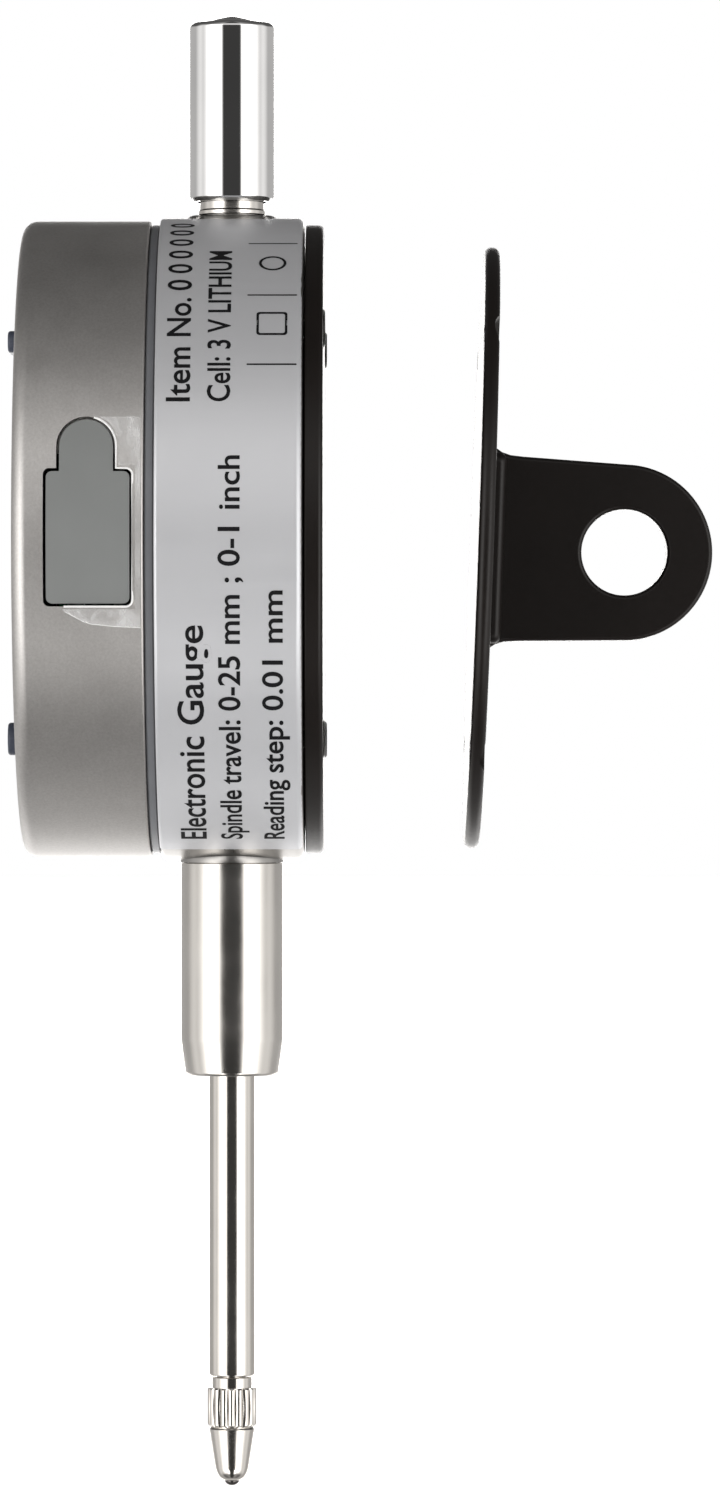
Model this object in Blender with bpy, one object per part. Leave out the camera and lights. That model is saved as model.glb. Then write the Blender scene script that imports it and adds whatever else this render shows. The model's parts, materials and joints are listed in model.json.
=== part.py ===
"""Digital dial indicator with a rotating display, a sprung spindle and a spare lug back.

Metres, +Z up along the spindle, the display facing -Y.  The origin is on the spindle's axis,
half-way down the stem, where a stand clamps it.  Most heights below are counted from the
centre of the round case, which lies CASE_CENTRE_Z above the origin.
"""
import bmesh
import bpy
from math import asin, cos, pi, radians, sin
from mathutils import Matrix, Vector

MM = 0.001
GAP = 0.3 * MM                    # clearance between pieces that touch on the real object
WELD = 0.001 * MM
LARGE_ROUND = 48                  # sides of the case-sized rings
MEDIUM_ROUND = 32
SMALL_ROUND = 24
SCREW_ROUND = 12
SHARP_ANGLE = radians(35)

# Case
CASE_CENTRE_Z = 40.0 * MM
CASE_RADIUS = 29.7 * MM
CASE_BORE = 27.5 * MM
CASE_FRONT = -6.5 * MM
CASE_BACK = 6.65 * MM
CASE_EDGE = 0.4 * MM
WEB_BACK = -4.9 * MM
WEB_HOLE = 12.0 * MM
HUB_RADIUS = 21.0 * MM
HUB_BORE = 19.0 * MM
HUB_FRONT = -10.4 * MM
CLIP_GROOVE_RADIUS = 20.2 * MM
CLIP_GROOVE = (-10.2 * MM, -8.9 * MM)
TOP_BOSS_RADIUS = 4.2 * MM
BOTTOM_BOSS_RADIUS = 5.0 * MM
BOSS_END = 30.15 * MM             # both bosses stand this far from the case centre
BOSS_ROOT = 26.0 * MM

# Label wrapped round the right side of the case
LABEL_RADIUS = 30.0 * MM
LABEL_THICKNESS = 0.1 * MM
LABEL_ANGLES = (radians(-74), radians(81))
LABEL_DEPTH = (-6.3 * MM, 6.45 * MM)
LABEL_STEPS = 36

# Back cover and its screws
COVER_RADIUS = 29.3 * MM
COVER_BACK = 8.6 * MM
SCREW_CIRCLE = 26.4 * MM
SCREW_BOSS_RADIUS = 2.6 * MM
SCREW_HEAD_RADIUS = 1.75 * MM
SCREW_HEAD_HEIGHT = 0.7 * MM
SCREW_HEAD_PROUD = 0.2 * MM
SCREW_SHANK_RADIUS = 0.8 * MM
SCREW_END = 1.0 * MM
SCREW_SLOT_WIDTH = 0.5 * MM
SCREW_SLOT_DEPTH = 0.35 * MM

# Stem, bushes and stop
STEM_RADIUS = 9.525 * MM / 2
STEM_LENGTH = 20.0 * MM
STEM_END = -50.0 * MM
STEM_TOP = STEM_END + STEM_LENGTH - 0.45 * MM
STEM_TAPER_START = -46.8 * MM
STEM_TIP_RADIUS = 4.32 * MM
SPIGOT_RADIUS = 3.9 * MM
SPIGOT_TOP = -25.4 * MM
BUSH_SEAT_RADIUS = 3.4 * MM
BUSH_SEAT_TOP = -39.7 * MM
STEM_BUSH_SPAN = (-49.8 * MM, -40.0 * MM)
STOP_RADIUS = 3.8 * MM
UPPER_BUSH_BOTTOM = 16.0 * MM
UPPER_BUSH_RADIUS = 3.8 * MM
NECK_RADIUS = 3.0 * MM
NECK_TOP = 36.0 * MM

# Dust cap
CAP_RADIUS = 3.97 * MM
CAP_BOTTOM = 31.5 * MM
CAP_SHOULDER = 47.6 * MM
CAP_TOP = 48.9 * MM
CAP_ROOF = 47.6 * MM
CAP_BORE = 2.6 * MM
CAP_EDGE = 0.25 * MM

# Spindle and what it carries
TRAVEL = 25.4 * MM
SPINDLE_RADIUS = 4.25 * MM / 2
RUNNING_CLEARANCE = 0.06 * MM
SPINDLE_TOP = 21.5 * MM
SPINDLE_BOTTOM = -78.1 * MM
SPINDLE_CHAMFER = 0.4 * MM
THREAD_RADIUS = 1.2 * MM
THREAD_TOP = -74.5 * MM
CONTACT_TOP = -78.4 * MM
CONTACT_NECK_RADIUS = 1.85 * MM
COLLAR_RADIUS = 2.3 * MM
COLLAR_SPAN = (-82.85 * MM, -79.2 * MM)
COLLAR_FLUTES = 18
FLUTE_DEPTH = 0.2 * MM
CONE_TOP_RADIUS = 2.15 * MM
CONE_TIP_RADIUS = 1.45 * MM
CONE_TIP = -86.95 * MM
INSERT_RADIUS = 1.15 * MM
INSERT_SHANK_RADIUS = 0.75 * MM
INSERT_TIP = -88.4 * MM
INSERT_SHANK_LENGTH = 1.3 * MM
CARRIAGE_SPAN = (-21.5 * MM, -11.5 * MM)
CARRIAGE_HALF_WIDTH = 4.6 * MM
CARRIAGE_DEPTH = (-3.2 * MM, 4.0 * MM)
ARM_TOP = -6.0 * MM
ARM_END = 13.0 * MM
ARM_DEPTH = (-2.4 * MM, -1.2 * MM)
CARRIAGE_HOLES_Z = -16.5 * MM
GUIDE_PIN_RADIUS = 1.0 * MM
GUIDE_PIN_SPAN = (-8.0 * MM, -3.2 * MM)
SCALE_DEPTH = (-3.3 * MM, -2.7 * MM)
SCALE_SPAN = (-21.5 * MM, -2.0 * MM)

# Fixed pieces inside the case
SENSOR_BOARD_DEPTH = (-4.6 * MM, -3.7 * MM)
SENSOR_BOARD_WIDTH = (4.9 * MM, 15.5 * MM)
SENSOR_BOARD_SPAN = (-20.0 * MM, 18.0 * MM)
SENSOR_SCREW_X = 14.3 * MM
SENSOR_SCREW_Z = 14.5 * MM
RAIL_BACK = 2.6 * MM
RAIL_WIDTH = (-9.4 * MM, -5.4 * MM)
RAIL_SLOT_FLOOR = -8.4 * MM
RAIL_SLOT_HALF = 1.3 * MM
RAIL_SPAN = (-22.0 * MM, 16.0 * MM)
SPRING_X = 9.0 * MM
SPRING_Y = 1.6 * MM
SPRING_SPAN = (-23.0 * MM, -8.8 * MM)
SPRING_RADIUS = 1.25 * MM
SPRING_WIRE_RADIUS = 0.25 * MM
SPRING_TURNS = 11
SPRING_POINTS_PER_TURN = 8
ANCHOR_RADIUS = 0.8 * MM
ANCHOR_Z = -24.2 * MM
HOOK_PIN_Z = -7.5 * MM
PIN_BACK = 3.2 * MM
SLIP_RING_RADII = (26.5 * MM, 28.8 * MM)
SLIP_RING_DEPTH = (-7.3 * MM, -6.8 * MM)
CIRCLIP_RADII = (20.5 * MM, 22.6 * MM)
CIRCLIP_DEPTH = (-9.9 * MM, -9.2 * MM)
CIRCLIP_OPENING = radians(24)
CIRCLIP_STEPS = 48
RIBBON_RADII = (7.0 * MM, 15.0 * MM)
RIBBON_DEPTH = (-9.8 * MM, -7.0 * MM)
RIBBON_THICKNESS = 0.25 * MM
RIBBON_TURNS = 1.5
RIBBON_STEPS = 40

# Front housing
HOUSING_RADIUS = 29.65 * MM
HOUSING_FRONT = -19.35 * MM
HOUSING_BACK = -7.6 * MM
HOUSING_EDGE_RADIUS = 1.3 * MM
HOUSING_BACK_EDGE = 0.25 * MM
HOUSING_BORE = 27.4 * MM
HOUSING_WALL_FRONT = -8.8 * MM
HOUSING_HOLE = 21.3 * MM
MOUTH_RADIUS = 26.8 * MM
LEDGE_RADIUS = 25.9 * MM
LEDGE_DEPTH = (-17.85 * MM, -17.2 * MM)

# Face, window and liquid crystal display
FACE_RADIUS = 26.5 * MM
FACE_DEPTH = (-19.15 * MM, -18.15 * MM)
WINDOW_SIZE = (38.0 * MM, 15.0 * MM)
WINDOW_CORNER = 1.5 * MM
LENS_DEPTH = (-19.05 * MM, -18.25 * MM)
LCD_SIZE = (42.0 * MM, 18.0 * MM)
LCD_DEPTH = (-17.85 * MM, -16.65 * MM)
LCD_FRAME_SIZE = (46.0 * MM, 22.0 * MM)
LCD_FRAME_DEPTH = (-17.85 * MM, -15.5 * MM)
STRIP_SIZE = (40.0 * MM, 1.4 * MM)
STRIP_DEPTH = (-16.35 * MM, -15.5 * MM)
STRIP_Z = 8.0 * MM
BOARD_RADIUS = 25.7 * MM
BOARD_DEPTH = (-15.2 * MM, -14.4 * MM)
POST_X = 18.5 * MM
POST_Z = 15.2 * MM
POST_RADIUS = 1.8 * MM
POST_BACK = -15.5 * MM
POST_HOLE_RADIUS = 1.0 * MM
POST_HOLE_FRONT = -18.0 * MM
BOARD_SCREW_RADIUS = 0.7 * MM
BOARD_SCREW_HEAD_RADIUS = 1.4 * MM
BOARD_SCREW_SPAN = (-17.6 * MM, -13.4 * MM)

# Buttons
BUTTON_X = 9.0 * MM
BUTTON_WIDTH = 6.8 * MM
BUTTON_ROWS = {1: (17.85 * MM, 2.0 * MM), -1: (-18.65 * MM, 3.0 * MM)}    # height, size in z
BUTTON_FRONT = -20.4 * MM
BUTTON_FLANGE_SIZE = (8.2 * MM, 4.4 * MM)
BUTTON_FLANGE_DEPTH = (-17.85 * MM, -17.25 * MM)
BUTTON_STEM_RADIUS = 1.2 * MM
BUTTON_STEM_BACK = -16.75 * MM
BUTTON_EDGE = 0.35 * MM
SWITCH_SIZE = (4.4 * MM, 3.0 * MM)
SWITCH_DEPTH = (-16.2 * MM, -15.5 * MM)

# Battery drawer in the left side of the housing
BATTERY_RADIUS = 10.0 * MM
BATTERY_DEPTH = (-14.0 * MM, -10.8 * MM)
BATTERY_EDGE = 0.3 * MM
DRAWER_DEPTH = (-13.9 * MM, -10.9 * MM)
DRAWER_HALF_WIDTH = 11.5 * MM
DRAWER_OUTER_RADIUS = 29.55 * MM
DRAWER_INNER_END = -4.5 * MM
BATTERY_X = -16.0 * MM
DRAWER_ARC_STEPS = 10
CONTACT_STRIP_WIDTH = 4.0 * MM
CONTACT_LEAF_DEPTH = (-10.5 * MM, -10.2 * MM)
CONTACT_LEAF_END = -14.0 * MM
CONTACT_UPRIGHT = (-3.3 * MM, -2.9 * MM)
CONTACT_FRONT = -14.1 * MM

# Data port in the right side of the housing
PORT_DEPTH = (-16.2 * MM, -8.7 * MM)
PORT_SPAN = (-6.55 * MM, 5.33 * MM)
PORT_CORNER = 0.6 * MM
TAB_Y = -12.6 * MM
TAB_RADIUS = 2.42 * MM
TAB_TOP = 10.0 * MM
PORT_COVER_RADII = (27.8 * MM, 29.5 * MM)
PORT_REACH = (26.5 * MM, 32.0 * MM)
PLUG_DEPTH = (-13.9 * MM, -10.9 * MM)
PLUG_SPAN = (-4.2 * MM, 3.0 * MM)
PLUG_REACH = (26.4 * MM, 28.6 * MM)
SOCKET_REACH = (22.0 * MM, 26.1 * MM)
SOCKET_DEPTH = (-14.1 * MM, -10.9 * MM)
SOCKET_SPAN = (-5.4 * MM, 4.2 * MM)
SOCKET_POCKET = 2.5 * MM
SOCKET_WALL = 0.7 * MM

# Lug back, a spare cover that lies behind the indicator
PLATE_RADIUS = 28.05 * MM
PLATE_DEPTH = (22.6 * MM, 24.0 * MM)
PLATE_DROP = 0.8 * MM             # it lies this much low and leans away from the case
PLATE_LEAN = radians(2)
LUG_HALF_THICKNESS = 2.5 * MM
LUG_ROOT_HALF_WIDTH = 8.6 * MM
LUG_END_RADIUS = 8.2 * MM
LUG_HOLE_Y = 36.6 * MM
LUG_HOLE_RADIUS = 4.0 * MM
LUG_HOLE_CHAMFER = 0.35 * MM
PAD_HALF_SIZE = (3.7 * MM, 9.6 * MM)
PAD_BACK = 25.1 * MM
PLATE_HOLE_RADIUS = 1.2 * MM
PLATE_SINK_RADIUS = 2.1 * MM

AXES = {"X": Vector((1, 0, 0)), "Y": Vector((0, 1, 0)), "Z": Vector((0, 0, 1))}
CORNERS = ((1, 1), (-1, 1), (-1, -1), (1, -1))

# Colour, roughness and metallic value of each material
MATERIALS = {
    "case_metal": ((0.62, 0.62, 0.61), 0.34, 1.0),
    "bezel_metal": ((0.50, 0.49, 0.47), 0.42, 1.0),
    "foil_label": ((0.56, 0.57, 0.58), 0.45, 0.3),
    "stem_steel": ((0.70, 0.67, 0.63), 0.24, 1.0),
    "spindle_steel": ((0.72, 0.69, 0.65), 0.18, 1.0),
    "chrome_cap": ((0.82, 0.82, 0.82), 0.06, 1.0),
    "bronze_bush": ((0.60, 0.40, 0.20), 0.35, 1.0),
    "black_enamel": ((0.016, 0.014, 0.013), 0.38, 0.0),
    "black_screw": ((0.03, 0.03, 0.03), 0.35, 1.0),
    "steel_screw": ((0.55, 0.55, 0.54), 0.30, 1.0),
    "spring_steel": ((0.50, 0.50, 0.49), 0.30, 1.0),
    "board_green": ((0.02, 0.16, 0.07), 0.45, 0.0),
    "carriage_brass": ((0.66, 0.50, 0.22), 0.35, 1.0),
    "black_polymer": ((0.02, 0.02, 0.02), 0.50, 0.0),
    "black_rubber": ((0.02, 0.02, 0.02), 0.75, 0.0),
    "port_grey": ((0.20, 0.205, 0.202), 0.55, 0.0),
    "button_blue_grey": ((0.05, 0.06, 0.09), 0.50, 0.0),
    "clear_window": ((0.85, 0.88, 0.88), 0.05, 0.0),
    "display_glass": ((0.30, 0.34, 0.29), 0.20, 0.0),
    "face_silver": ((0.55, 0.56, 0.57), 0.45, 0.4),
    "ribbon_amber": ((0.55, 0.25, 0.04), 0.35, 0.0),
    "carbide": ((0.10, 0.10, 0.11), 0.20, 1.0),
    "battery_steel": ((0.72, 0.72, 0.72), 0.22, 1.0),
}


def clear_scene():
    for item in list(bpy.data.objects):
        bpy.data.objects.remove(item)


def material(name):
    """Give the named material, made the first time it is asked for."""
    if name in bpy.data.materials:
        return bpy.data.materials[name]
    colour, roughness, metallic = MATERIALS[name]
    made = bpy.data.materials.new(name)
    made.use_nodes = True
    shader = made.node_tree.nodes["Principled BSDF"]
    shader.inputs["Base Color"].default_value = (*colour, 1.0)
    shader.inputs["Roughness"].default_value = roughness
    shader.inputs["Metallic"].default_value = metallic
    return made


def empty(name, location, parent=None):
    item = bpy.data.objects.new(name, None)
    bpy.context.scene.collection.objects.link(item)
    item.location = location
    item.parent = parent
    return item


def mesh_object(name, shape):
    """Turn a bmesh into an object of the scene and free the bmesh."""
    mesh = bpy.data.meshes.new(name)
    shape.to_mesh(mesh)
    shape.free()
    item = bpy.data.objects.new(name, mesh)
    bpy.context.scene.collection.objects.link(item)
    return item


def piece(name, shape, finish, parent, location=(0, 0, 0)):
    """Name one finished solid, give it its material and hang it on its parent."""
    item = mesh_object(name, shape)
    item.data.materials.append(material(finish))
    item.data.shade_smooth()
    item.data.set_sharp_from_angle(angle=SHARP_ANGLE)
    item.parent = parent
    item.location = location
    return item


def combined(shape, other, operation):
    """Cut, join or intersect two closed shapes and give the result as a new shape."""
    body = mesh_object("body", shape)
    tool = mesh_object("tool", other)
    boolean = body.modifiers.new("boolean", "BOOLEAN")
    boolean.operation = operation
    boolean.object = tool
    result = bmesh.new()
    result.from_object(body, bpy.context.evaluated_depsgraph_get())
    for used in (body, tool):
        mesh = used.data
        bpy.data.objects.remove(used)
        bpy.data.meshes.remove(mesh)
    return result


def cut(shape, *tools):
    for tool in tools:
        shape = combined(shape, tool, "DIFFERENCE")
    return shape


def join(shape, *others):
    for other in others:
        shape = combined(shape, other, "UNION")
    return shape


def turned(profile, axis, segments):
    """Spin (radius, distance along the axis) points into a solid.

    A profile that starts on the axis also ends on it.  Any other profile is a closed loop and
    makes a ring.
    """
    shape = bmesh.new()
    along = AXES[axis]
    across = AXES["Z"] if axis == "X" else AXES["X"]
    points = [shape.verts.new(across * radius + along * step) for radius, step in profile]
    edges = [shape.edges.new(pair) for pair in zip(points, points[1:])]
    if profile[0][0] > 0:
        edges.append(shape.edges.new((points[-1], points[0])))
    bmesh.ops.spin(shape, geom=points + edges, cent=(0, 0, 0), axis=along, angle=2 * pi,
                   steps=segments, use_merge=True)
    bmesh.ops.remove_doubles(shape, verts=shape.verts, dist=WELD)
    bmesh.ops.recalc_face_normals(shape, faces=shape.faces)
    return shape


def extruded(outline, axis, span):
    """Push a flat outline along an axis.

    The outline's two numbers are (y, z) along X, (x, z) along Y and (x, y) along Z.
    """
    start, end = span
    across = {"X": ("Y", "Z"), "Y": ("X", "Z"), "Z": ("X", "Y")}[axis]
    shape = bmesh.new()
    corners = [
        shape.verts.new(AXES[across[0]] * u + AXES[across[1]] * v + AXES[axis] * start)
        for u, v in outline
    ]
    face = shape.faces.new(corners)
    pushed = bmesh.ops.extrude_face_region(shape, geom=[face])["geom"]
    moved = [item for item in pushed if isinstance(item, bmesh.types.BMVert)]
    bmesh.ops.translate(shape, verts=moved, vec=AXES[axis] * (end - start))
    bmesh.ops.recalc_face_normals(shape, faces=shape.faces)
    return shape


def shifted(shape, offset):
    bmesh.ops.translate(shape, verts=shape.verts, vec=Vector(offset))
    return shape


def arc(centre, radius, start, end, steps):
    """Give the points of an arc, both ends included, with angles in radians."""
    angles = [start + (end - start) * step / steps for step in range(steps + 1)]
    return [(centre[0] + radius * cos(a), centre[1] + radius * sin(a)) for a in angles]


def rounded_rectangle(low, high, radius, steps=3):
    """Give a rectangle's outline, its corners rounded."""
    middle = ((low[0] + high[0]) / 2, (low[1] + high[1]) / 2)
    reach = ((high[0] - low[0]) / 2 - radius, (high[1] - low[1]) / 2 - radius)
    outline = []
    for turn, (across, up) in enumerate(CORNERS):
        centre = (middle[0] + across * reach[0], middle[1] + up * reach[1])
        outline += arc(centre, radius, turn * pi / 2, (turn + 1) * pi / 2, steps)
    return outline


def centred_rectangle(size, radius=0.0, grow=0.0):
    """Give the outline of a rectangle about (0, 0), grown on every side."""
    half = (size[0] / 2 + grow, size[1] / 2 + grow)
    if radius:
        return rounded_rectangle((-half[0], -half[1]), half, radius)
    return [(across * half[0], up * half[1]) for across, up in CORNERS]


def rod(radius, span, axis, segments=SMALL_ROUND):
    start, end = span
    return turned([(0, end), (radius, end), (radius, start), (0, start)], axis, segments)


def tube(bore, radius, span, axis, segments=SMALL_ROUND):
    start, end = span
    return turned([(bore, end), (radius, end), (radius, start), (bore, start)], axis, segments)


def block(x_span, y_span, z_span):
    outline = [(x, y) for x, y in zip(
        (x_span[0], x_span[1], x_span[1], x_span[0]),
        (y_span[0], y_span[0], y_span[1], y_span[1]))]
    return extruded(outline, "Z", z_span)


def screw(head_radius, head_span, shank_radius, shank_end):
    """Make a pan-head screw along Y whose slotted head faces the second number of its span."""
    seat, top = head_span
    outward = 1 if top > seat else -1
    profile = [(0, top), (head_radius, top), (head_radius, seat), (shank_radius, seat),
               (shank_radius, shank_end), (0, shank_end)]
    body = turned(profile, "Y", SCREW_ROUND)
    floor = top - outward * SCREW_SLOT_DEPTH
    slot = block((-head_radius, head_radius), (floor, top + outward * GAP),
                 (-SCREW_SLOT_WIDTH / 2, SCREW_SLOT_WIDTH / 2))
    bmesh.ops.recalc_face_normals(slot, faces=slot.faces)
    return cut(body, slot)


def screw_places(circle):
    """Give the x and z of the four cover screws."""
    reach = circle * cos(pi / 4)
    return [(across * reach, up * reach) for across, up in CORNERS]


# ---- Case --------------------------------------------------------------------------------


def rear_case(centre):
    profile = [
        (CASE_BORE, CASE_BACK),
        (CASE_RADIUS - CASE_EDGE, CASE_BACK),
        (CASE_RADIUS, CASE_BACK - CASE_EDGE),
        (CASE_RADIUS, CASE_FRONT + CASE_EDGE),
        (CASE_RADIUS - CASE_EDGE, CASE_FRONT),
        (HUB_RADIUS, CASE_FRONT),
        (HUB_RADIUS, CLIP_GROOVE[1]),
        (CLIP_GROOVE_RADIUS, CLIP_GROOVE[1]),
        (CLIP_GROOVE_RADIUS, CLIP_GROOVE[0]),
        (HUB_RADIUS, CLIP_GROOVE[0]),
        (HUB_RADIUS, HUB_FRONT),
        (HUB_BORE, HUB_FRONT),
        (HUB_BORE, CASE_FRONT),
        (WEB_HOLE, CASE_FRONT),
        (WEB_HOLE, WEB_BACK),
        (CASE_BORE, WEB_BACK),
    ]
    shell = turned(profile, "Y", LARGE_ROUND)
    shell = join(shell, rod(TOP_BOSS_RADIUS, (BOSS_ROOT, BOSS_END), "Z"))
    shell = join(shell, rod(BOTTOM_BOSS_RADIUS, (-BOSS_END, -BOSS_ROOT), "Z"))
    for x, z in screw_places(SCREW_CIRCLE):
        boss = rod(SCREW_BOSS_RADIUS, (WEB_BACK - GAP, CASE_BACK), "Y", SCREW_ROUND)
        shell = join(shell, shifted(boss, (x, 0, z)))
        hole = rod(SCREW_SHANK_RADIUS + GAP, (SCREW_END - GAP, CASE_BACK + GAP), "Y", SCREW_ROUND)
        shell = cut(shell, shifted(hole, (x, 0, z)))
    for z in (-SENSOR_SCREW_Z, SENSOR_SCREW_Z):
        hole = rod(BOARD_SCREW_RADIUS + GAP, (CASE_FRONT + GAP, WEB_BACK + GAP), "Y", SCREW_ROUND)
        shell = cut(shell, shifted(hole, (SENSOR_SCREW_X, 0, z)))
    neck_hole = rod(NECK_RADIUS + GAP, (BOSS_ROOT - GAP, BOSS_END + GAP), "Z")
    spigot_hole = rod(SPIGOT_RADIUS + GAP, (-BOSS_END - GAP, -BOSS_ROOT + GAP), "Z")
    return piece("rear_case", cut(shell, neck_hole, spigot_hole), "case_metal", centre)


def label(centre):
    outer = arc((0, 0), LABEL_RADIUS + LABEL_THICKNESS, *LABEL_ANGLES, LABEL_STEPS)
    inner = arc((0, 0), LABEL_RADIUS, *LABEL_ANGLES, LABEL_STEPS)
    return piece("label", extruded(outer + inner[::-1], "Y", LABEL_DEPTH), "foil_label", centre)


def back_cover(centre):
    front = CASE_BACK + GAP
    profile = [
        (0, COVER_BACK),
        (COVER_RADIUS - CASE_EDGE, COVER_BACK),
        (COVER_RADIUS, COVER_BACK - CASE_EDGE),
        (COVER_RADIUS, front),
        (0, front),
    ]
    cover = turned(profile, "Y", LARGE_ROUND)
    seat = COVER_BACK + SCREW_HEAD_PROUD - SCREW_HEAD_HEIGHT - GAP
    for x, z in screw_places(SCREW_CIRCLE):
        hole = rod(SCREW_SHANK_RADIUS + GAP, (front - GAP, COVER_BACK), "Y", SCREW_ROUND)
        sink = rod(SCREW_HEAD_RADIUS + GAP, (seat, COVER_BACK + GAP), "Y", SCREW_ROUND)
        cover = cut(cover, shifted(hole, (x, 0, z)), shifted(sink, (x, 0, z)))
    return piece("back_cover", cover, "black_enamel", centre)


def back_screws(centre):
    top = COVER_BACK + SCREW_HEAD_PROUD
    for number, (x, z) in enumerate(screw_places(SCREW_CIRCLE), 1):
        shape = screw(SCREW_HEAD_RADIUS, (top - SCREW_HEAD_HEIGHT, top), SCREW_SHANK_RADIUS,
                      SCREW_END)
        piece(f"back_screw_{number}", shape, "black_screw", centre, (x, 0, z))


def stem(centre):
    profile = [
        (STEM_RADIUS, STEM_TOP),
        (STEM_RADIUS, STEM_TAPER_START),
        (STEM_TIP_RADIUS, STEM_END),
        (BUSH_SEAT_RADIUS, STEM_END),
        (BUSH_SEAT_RADIUS, BUSH_SEAT_TOP),
        (SPINDLE_RADIUS + GAP, BUSH_SEAT_TOP),
        (SPINDLE_RADIUS + GAP, SPIGOT_TOP),
        (SPIGOT_RADIUS, SPIGOT_TOP),
        (SPIGOT_RADIUS, STEM_TOP),
    ]
    return piece("stem", turned(profile, "Z", MEDIUM_ROUND), "stem_steel", centre)


def bushes(centre):
    bore = SPINDLE_RADIUS + RUNNING_CLEARANCE
    lower = tube(bore, BUSH_SEAT_RADIUS - GAP, STEM_BUSH_SPAN, "Z")
    piece("stem_bush", lower, "bronze_bush", centre)
    shoulder_top = BOSS_ROOT - GAP
    profile = [
        (bore, NECK_TOP),
        (NECK_RADIUS, NECK_TOP),
        (NECK_RADIUS, shoulder_top),
        (UPPER_BUSH_RADIUS, shoulder_top),
        (UPPER_BUSH_RADIUS, UPPER_BUSH_BOTTOM),
        (bore, UPPER_BUSH_BOTTOM),
    ]
    piece("upper_bush", turned(profile, "Z", SMALL_ROUND), "stem_steel", centre)


def stop_ring(centre):
    span = (SPIGOT_TOP + GAP, CARRIAGE_SPAN[0] - GAP)
    ring = tube(SPINDLE_RADIUS + GAP, STOP_RADIUS, span, "Z")
    piece("stop_ring", ring, "black_rubber", centre)


def sensor_board(centre):
    plate = block(SENSOR_BOARD_WIDTH, SENSOR_BOARD_DEPTH, SENSOR_BOARD_SPAN)
    for z in (-SENSOR_SCREW_Z, SENSOR_SCREW_Z):
        hole = rod(BOARD_SCREW_RADIUS + GAP, (WEB_BACK, 0), "Y", SCREW_ROUND)
        plate = cut(plate, shifted(hole, (SENSOR_SCREW_X, 0, z)))
    piece("sensor_board", plate, "board_green", centre)
    seat = SENSOR_BOARD_DEPTH[1] + GAP
    for number, z in enumerate((-SENSOR_SCREW_Z, SENSOR_SCREW_Z), 1):
        shape = screw(BOARD_SCREW_RADIUS + GAP, (seat, seat + SCREW_HEAD_HEIGHT),
                      BOARD_SCREW_RADIUS, CASE_FRONT + 2 * GAP)
        piece(f"sensor_screw_{number}", shape, "steel_screw", centre, (SENSOR_SCREW_X, 0, z))


def guide_rail(centre):
    left, right = RAIL_WIDTH
    front = WEB_BACK + GAP
    outline = [
        (left, front),
        (right, front),
        (right, -RAIL_SLOT_HALF),
        (RAIL_SLOT_FLOOR, -RAIL_SLOT_HALF),
        (RAIL_SLOT_FLOOR, RAIL_SLOT_HALF),
        (right, RAIL_SLOT_HALF),
        (right, RAIL_BACK),
        (left, RAIL_BACK),
    ]
    piece("guide_rail", extruded(outline, "Z", RAIL_SPAN), "steel_screw", centre)


def return_spring(centre):
    """Coil the return spring beside the spindle, from the case's pin up to the carriage's."""
    bottom, top = SPRING_SPAN
    count = SPRING_TURNS * SPRING_POINTS_PER_TURN
    curve = bpy.data.curves.new("return_spring", "CURVE")
    curve.dimensions = "3D"
    curve.bevel_depth = SPRING_WIRE_RADIUS
    curve.bevel_resolution = 1
    curve.use_fill_caps = True
    spline = curve.splines.new("POLY")
    spline.points.add(count)
    low = bottom + SPRING_WIRE_RADIUS
    high = top - SPRING_WIRE_RADIUS
    for step, point in enumerate(spline.points):
        turn = 2 * pi * step / SPRING_POINTS_PER_TURN
        height = low + (high - low) * step / count
        point.co = (SPRING_RADIUS * cos(turn), SPRING_RADIUS * sin(turn), height, 1)
    item = bpy.data.objects.new("return_spring", curve)
    bpy.context.scene.collection.objects.link(item)
    curve.materials.append(material("spring_steel"))
    item.parent = centre
    item.location = (SPRING_X, SPRING_Y, 0)


def spring_anchor(centre):
    pin = rod(ANCHOR_RADIUS, (WEB_BACK + GAP, PIN_BACK), "Y", SCREW_ROUND)
    piece("spring_anchor", pin, "steel_screw", centre, (SPRING_X, 0, ANCHOR_Z))


def display_bearing(centre):
    """Make the slip ring and the circlip that let the display unit turn on the case's hub."""
    slip = tube(*SLIP_RING_RADII, SLIP_RING_DEPTH, "Y", LARGE_ROUND)
    piece("slip_ring", slip, "black_polymer", centre)
    start = pi / 2 + CIRCLIP_OPENING / 2
    end = start + 2 * pi - CIRCLIP_OPENING
    outer = arc((0, 0), CIRCLIP_RADII[1], start, end, CIRCLIP_STEPS)
    inner = arc((0, 0), CIRCLIP_RADII[0], start, end, CIRCLIP_STEPS)
    clip = extruded(outer + inner[::-1], "Y", CIRCLIP_DEPTH)
    piece("circlip", clip, "spring_steel", centre)


def flex_ribbon(centre):
    """Wind the ribbon cable that feeds the display unit into a flat spiral inside the hub."""
    start, end = RIBBON_RADII
    outer = []
    inner = []
    for step in range(RIBBON_STEPS + 1):
        part = step / RIBBON_STEPS
        angle = 2 * pi * RIBBON_TURNS * part
        radius = start + (end - start) * part
        outer.append((radius * cos(angle), radius * sin(angle)))
        radius -= RIBBON_THICKNESS
        inner.append((radius * cos(angle), radius * sin(angle)))
    piece("flex_ribbon", extruded(outer + inner[::-1], "Y", RIBBON_DEPTH), "ribbon_amber", centre)


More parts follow.
